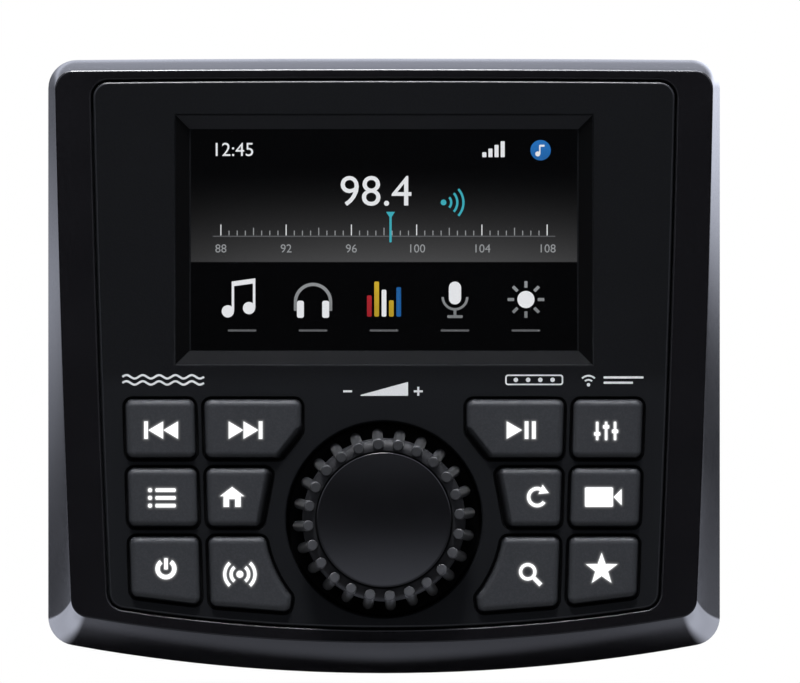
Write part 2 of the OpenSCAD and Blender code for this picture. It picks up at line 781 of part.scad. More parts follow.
module front_housing() {
    color([0.08, 0.08, 0.085]) difference() {
        union() {
            slab(rim_y, housing_back) difference() {
                outline(housing_line);
                outline(inset(housing_line, housing_wall));
            }
            slab(floor_front, housing_back) outline(inset(housing_line, housing_wall / 2));
            slab(snap_y - snap_w / 2, snap_y + snap_w / 2) difference() {
                outline(inset(housing_line, -snap_depth));
                outline(inset(housing_line, housing_wall / 2));
            }
            each_at(pillars) rod(pillar_r, board_back, floor_front + floor_t / 2);
        }
        slab(floor_front - over, housing_back + over) chassis_hole(aperture_gap);
        each_at(studs) hole(shoulder_r + seat, floor_front, housing_back);
        each_at(panel_posts) {
            hole(panel_screw_r + thread_gap, floor_front, housing_back);
            rod(panel_head_r + slip, panel_head_seat, housing_back + over);
        }
        each_at(lip_screws) rod(lip_screw_r + seat, floor_front - over, housing_back - 0.4);
    }
}

module chassis_hole(gap) {
    outline(box_corners(chassis_w + 2 * gap, chassis_h + 2 * gap, chassis_r + gap));
}
chassis_r = 5;

module panel_seal() {
    color([0.04, 0.04, 0.04]) slab(flange_back, rim_y) difference() {
        outline(inset(housing_line, 0.2));
        outline(inset(housing_line, housing_wall - 0.2));
    }
}

module dash_gasket() {
    color([0.06, 0.06, 0.06]) slab(housing_back, 0) difference() {
        outline(inset(housing_line, 0.8));
        outline(inset(housing_line, 3.6));
    }
}

module mounting_studs() {
    color([0.75, 0.75, 0.77]) each_at(studs) {
        rod(stud_head_r, floor_front - stud_head_h, floor_front);
        rod(shoulder_r, floor_front - stud_head_h / 2, housing_back);
        rod(stud_r, housing_back - floor_t / 2, stud_reach);
    }
}

module panel_screws() {
    color([0.6, 0.6, 0.62]) each_at(panel_posts)
        screw(panel_screw_r, post_hole, panel_head_r, panel_head_h, panel_head_seat, false);
}

module chassis_screws() {
    color([0.6, 0.6, 0.62]) each_at(lip_screws)
        screw(lip_screw_r, sheet_t + floor_t - 0.8, lip_head_r, lip_head_h, floor_front - sheet_t, true);
}

// Rear chassis, back plate and heat sink

rear_lip = 7;
rear_seal_t = 0.8;
plate_front = chassis_depth + rear_seal_t;
plate_back = plate_front + plate_t;
sink_side = 11;        // margin beside the heat sink on the back plate
sink_end = 10;         // margin above and below it
socket_room = 49;      // width of the back plate that is left for the sockets
sink_w = chassis_w - sink_side - socket_room;
sink_h = chassis_h - 2 * sink_end;
sink_x = sink_side + sink_w / 2 - chassis_w / 2;
sink_base = 4;
fin_t = 1.8;
back_screw_r = 1.5;
back_head_r = 2.8;
back_head_h = 2;
back_screw_length = plate_t + rear_seal_t + sheet_t + 1.5;
back_points = [for (x = [-1, 1]) for (z = [-1, 1])
    [x * (chassis_w / 2 - sheet_t - rear_lip / 2), z * (chassis_h / 2 - sheet_t - rear_lip / 2)]];
chip_z = 5;
clamp_reach = 17;
sink_screw_end = 14;   // from the heat sink's ends to its screws
sink_screw_z = sink_h / 2 - sink_screw_end;
sink_points = [for (x = [-1, 1]) for (z = [-sink_screw_z, chip_z, sink_screw_z])
    [sink_x + x * clamp_reach, z]];
sink_screw_r = 1.5;
sink_head_r = 2.7;
sink_head_h = 1.8;

module rear_opening(extra) {
    outline(box_corners(chassis_w - 2 * (sheet_t + rear_lip) + 2 * extra,
        chassis_h - 2 * (sheet_t + rear_lip) + 2 * extra, 3));
}

module rear_chassis() {
    color([0.62, 0.63, 0.65]) difference() {
        union() {
            slab(floor_front - sheet_t, floor_front)
                outline(box_corners(chassis_w + 2 * chassis_lip, chassis_h + 2 * chassis_lip, chassis_r));
            slab(floor_front - sheet_t / 2, chassis_depth) chassis_hole(0);
        }
        slab(floor_front - sheet_t - over, chassis_depth - sheet_t) chassis_hole(-sheet_t);
        slab(floor_front, chassis_depth + over) rear_opening(0);
        each_at(back_points) rod(back_screw_r + seat, chassis_depth - 2 * sheet_t, chassis_depth + over);
        each_at(lip_screws) hole(lip_screw_r + thread_gap, floor_front - sheet_t, floor_front);
    }
}

module rear_seal() {
    color([0.04, 0.04, 0.04]) difference() {
        slab(chassis_depth, plate_front) difference() {
            chassis_hole(-0.4);
            rear_opening(0.6);
        }
        each_at(back_points) hole(back_screw_r + thread_gap, chassis_depth, plate_front);
    }
}

module rear_plate() {
    color([0.5, 0.51, 0.53]) difference() {
        slab(plate_front, plate_back) chassis_hole(0);
        each_at(back_points) hole(back_screw_r + thread_gap, plate_front, plate_back);
        each_at(sink_points) hole(sink_screw_r + thread_gap, plate_front, plate_back);
        for (s = sockets) at(s[0].x, s[0].y) slab(plate_front - over, plate_back + over)
            square(s[1] + [2 * seat, 2 * seat], center = true);
        at(aerial_at.x, aerial_at.y) hole(aerial_neck_r + seat, plate_front, plate_back);
    }
}

module back_screws() {
    color([0.6, 0.6, 0.62]) each_at(back_points)
        screw(back_screw_r, back_screw_length, back_head_r, back_head_h, plate_back, false);
}

module heat_sink() {
    color([0.3, 0.31, 0.32]) difference() {
        union() {
            at(sink_x, 0) slab(plate_back, plate_back + sink_base) square([sink_w, sink_h], center = true);
            for (i = [0:fin_count - 1]) at(sink_x + (sink_w - fin_t) * (i / (fin_count - 1) - 0.5), 0)
                slab(plate_back + sink_base / 2, plate_back + sink_base + fin_h)
                square([fin_t, sink_h], center = true);
        }
        each_at(sink_points) rod(sink_screw_r + seat, plate_back - over, plate_back + sink_base - 0.6);
    }
}

module heat_sink_screws() {
    length = plate_t + sink_base - 1.2;
    color([0.6, 0.6, 0.62]) for (p = sink_points) at(p.x, p.y)
        screw(sink_screw_r, length + foot_under(p), sink_head_r, sink_head_h,
            plate_front - foot_under(p), true);
}

// Boards and parts inside the chassis

main_room = 22;        // from the main board's front to the back of the chassis
main_y = chassis_depth - main_room;
main_back = main_y + board_t;
main_gap = 4;          // between the main board and the chassis walls
main_w = chassis_w - 2 * (sheet_t + main_gap);
main_h = chassis_h - 2 * (sheet_t + main_gap);
spacer_side = 13;
spacer_end = 14;
spacer_points = [for (x = [-1, 1]) for (z = [-1, 1])
    [x * (chassis_w / 2 - spacer_side), z * (chassis_h / 2 - spacer_end)]];
spacer_flats = 6;
spacer_screw_r = 1.5;
spacer_head_r = 2.7;
spacer_head_h = 1.8;
spacer_length = 7;
chip_w = 25;
chip_h = 17.5;
chip_t = 4.5;
chip_front = plate_front - chip_t;
clamp_t = 1.5;
clamp_h = 8;
lead_count = 11;
lead_pitch = 2;
lead_w = 0.8;

// The clamp's feet lift two of the heat sink screws
function foot_under(p) = p.y == chip_z ? clamp_t : 0;

module main_board() {
    color([0.07, 0.25, 0.14]) difference() {
        slab(main_y, main_back) outline(box_corners(main_w, main_h, 2));
        each_at(spacer_points) hole(spacer_screw_r + thread_gap, main_y, main_back);
    }
}

module board_spacers() {
    color([0.78, 0.66, 0.35]) each_at(spacer_points) difference() {
        slab(main_back, plate_front) circle(d = spacer_flats / cos(30), $fn = 6);
        rod(spacer_screw_r + seat, main_back - over, main_back + 8);
    }
}

module board_screws() {
    color([0.6, 0.6, 0.62]) each_at(spacer_points)
        screw(spacer_screw_r, spacer_length, spacer_head_r, spacer_head_h, main_y, true);
}

module amplifier_chip() {
    lead_z = chip_z - chip_h / 2 - 2.4;
    color([0.1, 0.1, 0.1]) union() {
        slab(chip_front, plate_front) translate([sink_x, chip_z]) square([chip_w, chip_h], center = true);
        for (i = [0:lead_count - 1]) {
            x = sink_x + (i - (lead_count - 1) / 2) * lead_pitch - lead_w / 2;
            translate([x, chip_front + 1, lead_z - 0.3]) cube([lead_w, lead_w, 3]);
            translate([x, main_back, lead_z - 0.3])
                cube([lead_w, chip_front + 1 + lead_w - main_back, lead_w]);
        }
    }
}

// Spring strap that holds the chip against the back plate
module chip_clamp() {
    color([0.7, 0.7, 0.72]) difference() {
        at(sink_x, chip_z) union() {
            slab(chip_front - clamp_t, chip_front)
                square([chip_w + 2 * clamp_t + 2 * seat, clamp_h], center = true);
            for (s = [-1, 1]) translate([s * (chip_w + clamp_t + 2 * seat) / 2, 0, 0]) {
                slab(chip_front - clamp_t / 2, plate_front) square([clamp_t, clamp_h], center = true);
                translate([s * (clamp_reach - chip_w / 2 + clamp_h / 2) / 2, 0, 0])
                    slab(plate_front - clamp_t, plate_front)
                    square([clamp_reach - chip_w / 2 + clamp_h / 2, clamp_h], center = true);
            }
        }
        each_at(sink_points) hole(sink_screw_r + thread_gap, plate_front - clamp_t, plate_front);
    }
}

capacitor_r = 6.3;
capacitor_h = 16;
capacitor_pitch = 14;
capacitor_count = 3;
capacitor_edge = 0.6;
capacitor_side = 22.8;
capacitor_end = 16.8;
capacitor_at = [capacitor_side - main_w / 2, capacitor_end - main_h / 2];

module capacitors() {
    top = main_back + capacitor_h;
    color([0.12, 0.13, 0.2]) for (i = [0:capacitor_count - 1])
        at(capacitor_at.x + i * capacitor_pitch, capacitor_at.y)
            turned([[0, main_back], [capacitor_r, main_back], [capacitor_r, top - capacitor_edge],
                [capacitor_r - capacitor_edge, top], [0, top]]);
}

choke_r = 3.5;
choke_side = 34.8;
choke_end = 12.8;
choke_at = [main_w / 2 - choke_side, main_h / 2 - choke_end];
tuner_w = 38;
tuner_h = 28;
tuner_t = 8;
tuner_side = 22.8;
tuner_end = 28.8;
tuner_at = [main_w / 2 - tuner_side, main_h / 2 - tuner_end];

module choke_coil() {
    color([0.6, 0.35, 0.15]) translate([choke_at.x, main_back + choke_r, choke_at.y]) rotate([90, 0, 0])
        rotate_extrude() translate([2 * choke_r, 0]) circle(r = choke_r);
}

module tuner_module() {
    color([0.75, 0.75, 0.77]) slab(main_y - tuner_t, main_y) translate(tuner_at)
        outline(box_corners(tuner_w, tuner_h, 1));
}

// Ribbon from the display to the main board, held at both ends

connector_t = 3;
connector_h = 5;
connector_z = -14;
connector_end = 3;     // how far the connector reaches past the ribbon, each side
ribbon_x = -10;
ribbon_w = 20;
ribbon_t = 0.4;
ribbon_steps = 8;
ribbon_start = [tray_back, window_z - bracket_h / 2 + bracket_bar + 5];
ribbon_end = [main_y - connector_t / 2, connector_z + connector_h / 2];
ribbon_path = [for (i = [0:ribbon_steps]) curve(ribbon_start, ribbon_start + [16, 0],
    ribbon_end + [0, 20], ribbon_end, i / ribbon_steps)];

function curve(a, b, c, d, t) = a * pow(1 - t, 3) + b * 3 * t * pow(1 - t, 2) + c * 3 * t * t * (1 - t)
    + d * pow(t, 3);

module board_connector() {
    color([0.9, 0.88, 0.8]) slab(main_y - connector_t, main_y) translate([ribbon_x, connector_z])
        square([ribbon_w + 2 * connector_end, connector_h], center = true);
}

module display_ribbon() {
    n = len(ribbon_path);
    side = [for (i = [0:n - 1]) let (d = unit(ribbon_path[min(i + 1, n - 1)] - ribbon_path[max(i - 1, 0)]))
        (i == 0 ? [0, 1] : i == n - 1 ? [1, 0] : [-d.y, d.x]) * ribbon_t / 2];
    color([0.85, 0.85, 0.82]) translate([ribbon_x - ribbon_w / 2, 0, 0]) rotate([90, 0, 90])
        linear_extrude(ribbon_w) polygon(concat([for (i = [0:n - 1]) ribbon_path[i] + side[i]],
            [for (i = [n - 1:-1:0]) ribbon_path[i] - side[i]]));
}

// Sockets in a column on the back plate, evenly spaced from top to bottom

socket_proud = 12;
socket_tail = 4;       // how far a socket reaches in front of the back plate
socket_wall = 2;
pin_free = 5.5;        // depth of a shroud in front of its pins
power_size = [36, 15];
fuse_base = [24, 9];
av_size = [28, 13];
aerial_bore = 4.8;
aerial_depth = 12;
aerial_r = 7;
aerial_neck_r = 6;
aerial_collar_r = aerial_r + 1.5;
socket_side = 28;      // from the chassis's side to the sockets' middle
column_head = 18.5;    // room above the sockets, clear of the board spacers
column_foot = 7.5;
socket_x = chassis_w / 2 - socket_side;
column_top = chassis_h / 2 - column_head;
column_low = column_foot - chassis_h / 2;
column_gap = (column_top - column_low - power_size.y - fuse_base.y - av_size.y - 2 * aerial_collar_r) / 3;
power_at = [socket_x, column_top - power_size.y / 2];
fuse_at = [socket_x, power_at.y - (power_size.y + fuse_base.y) / 2 - column_gap];
av_at = [socket_x, fuse_at.y - (fuse_base.y + av_size.y) / 2 - column_gap];
aerial_at = [socket_x, column_low + aerial_collar_r];
sockets = [[power_at, power_size], [av_at, av_size], [fuse_at, fuse_base]];

// Open shroud with a grid of contact pins
module shroud(place, size, columns, rows) {
    pitch = 4;
    union() {
        difference() {
            at(place.x, place.y) slab(plate_front - socket_tail, plate_back + socket_proud)
                square(size, center = true);
            at(place.x, place.y) slab(plate_back, plate_back + socket_proud + over)
                square(size - [2 * socket_wall, 2 * socket_wall], center = true);
        }
        for (i = [0:columns - 1]) for (j = [0:rows - 1])
            at(place.x + (i - (columns - 1) / 2) * pitch, place.y + (j - (rows - 1) / 2) * pitch)
                slab(plate_back - 1, plate_back + socket_proud - pin_free) square(0.9, center = true);
    }
}

module power_socket() {
    color([0.15, 0.15, 0.16]) shroud(power_at, power_size, 8, 2);
}

module av_socket() {
    color([0.85, 0.85, 0.82]) shroud(av_at, av_size, 6, 2);
}

// Aerial socket: a plain bore with a contact hole at its bottom
module antenna_socket() {
    bottom = plate_back + 2;
    mouth = bottom + aerial_depth;
    color([0.75, 0.75, 0.77]) at(aerial_at.x, aerial_at.y) difference() {
        union() {
            rod(aerial_neck_r, plate_front - 3, plate_back + over);
            rod(aerial_collar_r, plate_back, bottom);
            rod(aerial_r, bottom - over, mouth);
        }
        rod(aerial_bore, bottom, mouth + over);
        rod(1.6, plate_front, bottom + over);
    }
}

module fuse_holder() {
    color([0.08, 0.08, 0.09]) difference() {
        at(fuse_at.x, fuse_at.y) slab(plate_front - socket_tail, fuse_seat)
            square(fuse_base, center = true);
        for (s = [-1, 1]) at(fuse_at.x + s * blade_x, fuse_at.y)
            slab(fuse_seat - blade_h - slip, fuse_seat + over)
            square([blade_w + 2 * seat, blade_t + 2 * seat], center = true);
    }
}
fuse_proud = 7;
fuse_seat = plate_back + fuse_proud;
fuse_body = [18.6, 4.4];
fuse_cap = [19.2, 5.2];
fuse_neck = 4;
fuse_h = 8;
blade_x = 6.7;
blade_w = 5.2;
blade_t = 0.8;
blade_h = 6;

// Blade fuse with its two blades in the holder
module fuse() {
    color([0.1, 0.35, 0.75]) at(fuse_at.x, fuse_at.y) union() {
        slab(fuse_seat, fuse_seat + fuse_neck + over) square(fuse_body, center = true);
        slab(fuse_seat + fuse_neck, fuse_seat + fuse_h) square(fuse_cap, center = true);
        for (s = [-1, 1]) translate([s * blade_x, 0, 0]) slab(fuse_seat - blade_h, fuse_seat + over)
            square([blade_w, blade_t], center = true);
    }
}

// What is drawn

trim_bezel();
front_panel();
lens_gasket();
display_lens();
lcd_glass();
backlight_tray();
display_bracket();
keypad_mat();
key_board();
key_leds();
inner_screws();
encoder_body();
encoder_nut();
shaft_seal();
encoder_board();
front_housing();
panel_seal();
dash_gasket();
mounting_studs();
panel_screws();
chassis_screws();
rear_chassis();
rear_seal();
rear_plate();
back_screws();
heat_sink();
heat_sink_screws();
main_board();
board_spacers();
board_screws();
amplifier_chip();
chip_clamp();
capacitors();
choke_coil();
tuner_module();
board_connector();
display_ribbon();
power_socket();
av_socket();
antenna_socket();
fuse_holder();
fuse();
knob_cap();
knob_grip();
knob_hub();
encoder_shaft();
encoder_rotor();
key(0, 0, -1);  // key_previous
key(1, 0, -1);  // key_next
key(0, 1, -1);  // key_mode
key(1, 1, -1);  // key_home
key(0, 2, -1);  // key_power
key(1, 2, -1);  // key_band
key(1, 0, 1);  // key_play
key(0, 0, 1);  // key_tone
key(1, 1, 1);  // key_repeat
key(0, 1, 1);  // key_camera
key(1, 2, 1);  // key_scan
key(0, 2, 1);  // key_favourite
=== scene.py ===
from math import acos, atan2, cos, hypot, pi, radians, sin, sqrt, tan

import bpy
import bmesh
from mathutils import Matrix, Vector
from mathutils.geometry import tessellate_polygon


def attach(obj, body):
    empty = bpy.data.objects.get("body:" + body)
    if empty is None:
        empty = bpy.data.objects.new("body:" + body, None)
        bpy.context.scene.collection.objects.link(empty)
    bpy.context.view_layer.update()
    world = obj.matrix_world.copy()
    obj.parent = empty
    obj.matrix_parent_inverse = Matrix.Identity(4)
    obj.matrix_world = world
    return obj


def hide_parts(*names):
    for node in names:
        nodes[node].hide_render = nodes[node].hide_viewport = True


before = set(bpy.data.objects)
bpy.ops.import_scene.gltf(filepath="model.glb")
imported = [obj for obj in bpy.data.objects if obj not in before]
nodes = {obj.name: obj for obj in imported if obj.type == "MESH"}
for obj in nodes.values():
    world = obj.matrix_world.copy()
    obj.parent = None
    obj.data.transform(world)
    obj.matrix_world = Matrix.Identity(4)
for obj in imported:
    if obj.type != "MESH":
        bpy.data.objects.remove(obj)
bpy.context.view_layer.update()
mm = 0.001
hair = 0.01  # millimetres that keep two faces apart
print("frame loaded:", len(nodes), "nodes")


def newObject(name, data):
    made = bpy.data.objects.new(name, data)
    bpy.context.scene.collection.objects.link(made)
    return made


def lerp(a, b, t):
    return a + (b - a) * t


def swing(steps, first=0, end=pi / 2):
    # equal steps up to the end, of a quarter turn as a rule
    return [end * k / steps for k in range(first, steps + 1)]


def fillet(steps, first=0):
    # a rounded edge of radius 1, from its face to its wall: how far over and how far down
    return [(1 - sin(a), 1 - cos(a)) for a in swing(steps, first)]


def circleLine(x, z, r, count):
    return [(x + r * cos(2 * pi * i / count), z + r * sin(2 * pi * i / count), 0) for i in range(count)]


# camera, straight on to the fascia

cameraView = dict(lens=1100, sensor=36, clip=60, aimX=3.92, aimZ=6.0, width=196.0, plane=-18.0)


def makeCamera(v):
    data = bpy.data.cameras.new("camera")
    data.lens, data.sensor_width, data.clip_end = v["lens"], v["sensor"], v["clip"]
    cam = newObject("camera", data)
    distance = v["width"] * v["lens"] / v["sensor"]
    cam.location = (v["aimX"] * mm, (v["plane"] - distance) * mm, v["aimZ"] * mm)
    cam.rotation_euler = (pi / 2, 0, 0)
    bpy.context.scene.camera = cam
    print("camera at", round(distance * mm, 3), "m")


makeCamera(cameraView)


# shader maths: a socket that takes part in Python expressions

class Wire:
    def __init__(self, tree, out):
        self.tree, self.out = tree, out

    def calc(self, operation, *others, flip=False, clamp=False):
        node = self.tree.nodes.new("ShaderNodeMath")
        node.operation, node.use_clamp = operation, clamp
        terms = [self, *others]
        if flip:
            terms.reverse()
        for socket, term in zip(node.inputs, terms):
            plug(self.tree, socket, term)
        return Wire(self.tree, node.outputs[0])

    def __add__(self, other): return self.calc("ADD", other)
    def __radd__(self, other): return self.calc("ADD", other, flip=True)
    def __sub__(self, other): return self.calc("SUBTRACT", other)
    def __rsub__(self, other): return self.calc("SUBTRACT", other, flip=True)
    def __mul__(self, other): return self.calc("MULTIPLY", other)
    def __rmul__(self, other): return self.calc("MULTIPLY", other, flip=True)
    def __truediv__(self, other): return self.calc("DIVIDE", other)
    def __rtruediv__(self, other): return self.calc("DIVIDE", other, flip=True)
    def __pow__(self, other): return self.calc("POWER", other)
    def __rpow__(self, other): return self.calc("POWER", other, flip=True)
    def __abs__(self): return self.calc("ABSOLUTE")
    def atLeast(self, other): return self.calc("MAXIMUM", other)
    def clamped(self): return self.calc("ADD", 0.0, clamp=True)


def plug(tree, socket, value):
    if isinstance(value, Wire):
        tree.links.new(value.out, socket)
    elif socket.type == "RGBA" and len(value) == 3:
        socket.default_value = (*value, 1)
    else:
        socket.default_value = value


class Nodes:
    def __init__(self, owner):
        self.owner, self.tree = owner, owner.node_tree
        self.tree.nodes.clear()

    # any node: type, settings first, then the values or links of its sockets
    def add(self, kind, settings=None, sockets=None, out=0):
        node = self.tree.nodes.new("ShaderNode" + kind)
        for name, value in (settings or {}).items():
            setattr(node, name, value)
        for name, value in (sockets or {}).items():
            plug(self.tree, node.inputs[name], value)
        return Wire(self.tree, node.outputs[out])

    def coords(self, kind="Object"):
        return self.add("TexCoord", out=kind)

    def along(self, axis, kind="Object"):
        return self.add("SeparateXYZ", sockets={"Vector": self.coords(kind)}, out=axis)

    def noise(self, scale, detail, stretch=None):
        vector = self.coords()
        if stretch:
            vector = self.add("Mapping", sockets={"Vector": vector, "Scale": stretch})
        return self.add("TexNoise", sockets={"Vector": vector, "Scale": scale, "Detail": detail})

    def mixed(self, factor, a, b):
        return self.add("Mix", {"data_type": "RGBA"}, {0: factor, 6: a, 7: b}, out=2)

    def smooth(self, value, low, high):
        return self.add("MapRange", {"interpolation_type": "SMOOTHSTEP"},
                        {"Value": value, "From Min": low, "From Max": high})

    def bump(self, height, distance):
        return self.add("Bump", sockets={"Height": height, "Distance": distance * mm, "Strength": 1.0})

    def surface(self, shader, kind="Material"):
        out = self.tree.nodes.new("ShaderNodeOutput" + kind)
        self.tree.links.new(shader.out, out.inputs["Surface"])
        return self.owner

    def principled(self, sockets):
        return self.surface(self.add("BsdfPrincipled", sockets=sockets))


def shade(colour, factor):
    return tuple(min(1.0, c * factor) for c in colour)


def newFinish(name):
    material = bpy.data.materials.new(name)
    material.use_nodes = True
    return Nodes(material)


# world, lamps and floor

studio = dict(
    ambient=(0.28, 0.287, 0.30),
    # what a mirror sees: levels, and where each starts and ends, with the share that a fading one loses
    mirrorTint=(0.86, 0.90, 1.06),
    front=0.012, backStart=(-0.1, 0.25),
    frontLow=0.40, frontLowDrop=(-0.10, -0.30), frontLowEnd=(-0.6, -0.3, 1),
    frontHigh=1.10, frontHighRise=(0.0, 0.26), frontHighEnd=(-0.3, 0.0, 1),
    backdrop=1.68, backdropStart=(-0.16, 0.12), backdropFall=(0.08, 0.3, 0.72),
    backdropLift=0.55, backdropRise=(0.15, 0.55), backdropTop=(0.55, 0.68, 0.85),
    backdropShift=0.03, backdropSpread=(0.15, 0.55, 0.87),
    # glow seen in the side bevels: base, then two changes and where they start and end
    sideLeft=(0.12, 0.95, -0.22, -0.38, 2.8, -0.55, -0.65),
    sideRight=(1.55, -1.15, 0.27, 0.40, 3.0, 0.45, 0.62),
    sideSplit=(-0.05, 0.05), sideLevel=(0.08, 0.20, 1), sideEnd=(0.78, 0.95, 0.75),
    overheadGlow=7.0, overheadRise=(0.86, 0.94), overheadWidth=(0.45, 0.7, 1),
    underGlow=0.64, underSpread=(0.06, 0.37, 1), underPinch=6.0, underBack=(-0.15, 0.1),
    cornerGlow=(2.1, 2.7), cornerSpread=(0.10, 0.46), cornerDrop=(-0.03, -0.09),
    cornerBack=(0.1, 0.35), cornerNear=(0.42, 0.80, 1),
    floorDrop=-0.36, floorRadius=4.0, floorSides=96, floorFade=(0.6, 6.0), floorGlow=0.5,
    floorColour=(0.80, 0.80, 0.79), floorGrain=(0.97, 1.03),
    lamps=dict(
        # place, aim, width, height, watts, spread of its grid in degrees
        overhead=((0, -0.10, 0.85), (0, -0.02, 0.0), 1.00, 0.50, 9.0, 180),
        keyLight=((-0.1, -0.72, 1.38), (-0.02, -0.02, 0.06), 0.34, 0.26, 0.48, 20),
        rearLeft=((-1.1, 0.9, 0.9), (0, 0.04, 0), 1.40, 1.40, 10.0, 180),
        rearRight=((1.1, 1.1, 0.7), (0, 0.04, 0), 1.40, 1.40, 8.0, 180),
    ),
)


def sideGlow(n, x, v):
    base, first, a, b, second, c, d = v
    return base + n.smooth(x, a, b) * first + n.smooth(x, c, d) * second


def makeWorld(v):
    world = bpy.data.worlds.new("studio")
    world.use_nodes = True
    bpy.context.scene.world = world
    n = Nodes(world)

    def rise(value, name):
        return n.smooth(value, *v[name])

    def fade(value, name):
        start, end, share = v[name]
        return 1 - n.smooth(value, start, end) * share

    camera, glossy, through = (n.add("LightPath", out="Is %s Ray" % kind)
                               for kind in ("Camera", "Glossy", "Transmission"))
    x, y, z = (n.along(axis, "Generated") for axis in "XYZ")
    back, right = rise(y, "backStart"), rise(x, "sideSplit")
    sides = right * sideGlow(n, x, v["sideRight"]) + (1 - right) * sideGlow(n, x, v["sideLeft"])
    spread = fade(abs(x + v["backdropShift"]), "backdropSpread") * fade(abs(x), "sideEnd")
    spread = spread * (1 + (sides - 1) * fade(abs(z), "sideLevel"))
    level = rise(z, "backdropStart") * fade(z, "backdropFall") * v["backdrop"]
    level = (level + rise(z, "backdropRise") * v["backdropLift"]) * fade(z, "backdropTop")
    overhead = rise(z, "overheadRise") * fade(abs(x), "overheadWidth") * v["overheadGlow"]
    nadir = (1 + z) * (1 + abs(x) * v["underPinch"])
    under = fade(nadir, "underSpread") * rise(y, "underBack") * v["underGlow"]
    far, near = v["cornerGlow"]
    corner = rise(abs(x), "cornerSpread") * rise(z, "cornerDrop") * rise(y, "cornerBack")
    corner = corner * (far + near * fade(y, "cornerNear"))
    frontHigh = rise(z, "frontHighRise") * fade(y, "frontHighEnd") * v["frontHigh"]
    frontLow = rise(z, "frontLowDrop") * fade(y, "frontLowEnd") * v["frontLow"]
    mirror = (back * spread * level + overhead + under + corner + frontHigh + frontLow
              + (1 - back) * v["front"])
    seen = camera.atLeast(through * back)
    colour = n.mixed(seen, n.mixed(glossy, v["ambient"], v["mirrorTint"]), (1, 1, 1))
    strength = seen + (1 - seen) * (glossy * mirror + (1 - glossy))
    n.surface(n.add("Background", sockets={"Color": colour, "Strength": strength}), "World")


def makeLamps(v):
    for name, (place, aim, width, height, watts, spread) in v["lamps"].items():
        data = bpy.data.lights.new(name, "AREA")
        data.shape, data.size, data.size_y, data.energy = "RECTANGLE", width, height, watts
        data.spread = radians(spread)
        lamp = newObject(name, data)
        lamp.location = place
        lamp.rotation_euler = (Vector(aim) - Vector(place)).to_track_quat("-Z", "Y").to_euler()
        lamp.visible_camera = False


def makeFloor(v):
    n = newFinish("floorPaper")
    colour = n.mixed(n.noise(40, 4), *[shade(v["floorColour"], k) for k in v["floorGrain"]])
    paper = n.add("BsdfDiffuse", sockets={"Color": colour})
    glow = n.add("Emission", sockets={"Color": colour, "Strength": v["floorGlow"]})
    white = n.add("Emission", sockets={"Color": (1.0, 1.0, 1.0), "Strength": 1.0})
    x, y = n.along("X"), n.along("Y")
    far = n.smooth(x * x + y * y, *v["floorFade"])
    near = n.add("AddShader", sockets={0: paper, 1: glow})
    shown = n.add("MixShader", sockets={0: far, 1: near, 2: white})
    top = n.add("MixShader", sockets={0: n.add("LightPath", out="Is Camera Ray"), 1: paper, 2: shown})
    below = n.add("NewGeometry", out="Backfacing")
    material = n.surface(n.add("MixShader", sockets={0: below, 1: top, 2: n.add("BsdfTransparent")}))
    mesh = bpy.data.meshes.new("floor")
    rim = [(p[0], p[1], v["floorDrop"]) for p in circleLine(0, 0, v["floorRadius"], v["floorSides"])]
    mesh.from_pydata(rim, [], [list(range(len(rim)))])
    mesh.materials.append(material)
    floor = newObject("floor", mesh)
    floor.visible_glossy = False


makeWorld(studio)
makeLamps(studio)
makeFloor(studio)
bpy.context.scene.view_settings.view_transform = "Standard"
print("studio ready")


# finishes

def moulded(name, colour, rough, grain, depth, mottle, speckle=0.12, specular=0.5, coat=0.0, sheen=0.0,
            fade=None, cloudScale=55, fleck=(0.35, 0.75), fleckShare=0.5, wander=(0.14, 0.08)):
    n = newFinish(name)
    fine, cloud = n.noise(1000 / grain, 3), n.noise(cloudScale, 4)
    tone = n.mixed(cloud, shade(colour, 1 - mottle), shade(colour, 1 + mottle))
    tone = n.mixed(n.smooth(fine, *fleck) * fleckShare, tone, shade(colour, 1 + 2 * speckle))
    # fade paints light or shade: the tone changes by a factor along one axis
    if fade:
        axis, start, end, factor = fade
        tone = n.mixed(n.smooth(n.along(axis), start * mm, end * mm), tone, shade(colour, factor))
    roughness = (rough + (fine - 0.5) * wander[0] + (cloud - 0.5) * wander[1]).clamped()
    return n.principled({
        "Base Color": tone, "Roughness": roughness, "Normal": n.bump(fine, depth),
        "Specular IOR Level": specular, "Coat Weight": coat, "Coat Roughness": 0.12,
        "Sheen Weight": sheen, "Sheen Roughness": 0.4})


def plated(name, colour, rough, scratch=0.12, stretch=(1, 1, 12), scale=900, cloudScale=90,
           tones=(0.86, 1.06), wander=0.1, depth=0.004):
    n = newFinish(name)
    lines, cloud = n.noise(scale, 3, stretch), n.noise(cloudScale, 3)
    tone = n.mixed(cloud, *[shade(colour, k) for k in tones])
    roughness = (rough + (lines - 0.5) * scratch + (cloud - 0.5) * wander).clamped()
    return n.principled({
        "Base Color": tone, "Metallic": 1.0, "Roughness": roughness, "Normal": n.bump(lines, depth)})


def galvanised(name, colour, metal=0.5, rough=0.50, cellScale=230.0, fineScale=700, tones=(0.90, 1.05),
               wander=(0.08, 0.12), depth=0.006):
    n = newFinish(name)
    cells = n.add("TexVoronoi", {"feature": "F1"}, {"Vector": n.coords(), "Scale": cellScale}, out="Color")
    value, fine = n.add("SeparateColor", sockets={"Color": cells}), n.noise(fineScale, 4)
    tone = n.mixed(value, *[shade(colour, k) for k in tones])
    roughness = (rough + value * wander[0] + (fine - 0.5) * wander[1]).clamped()
    return n.principled({
        "Base Color": tone, "Metallic": metal, "Roughness": roughness, "Normal": n.bump(fine, depth)})


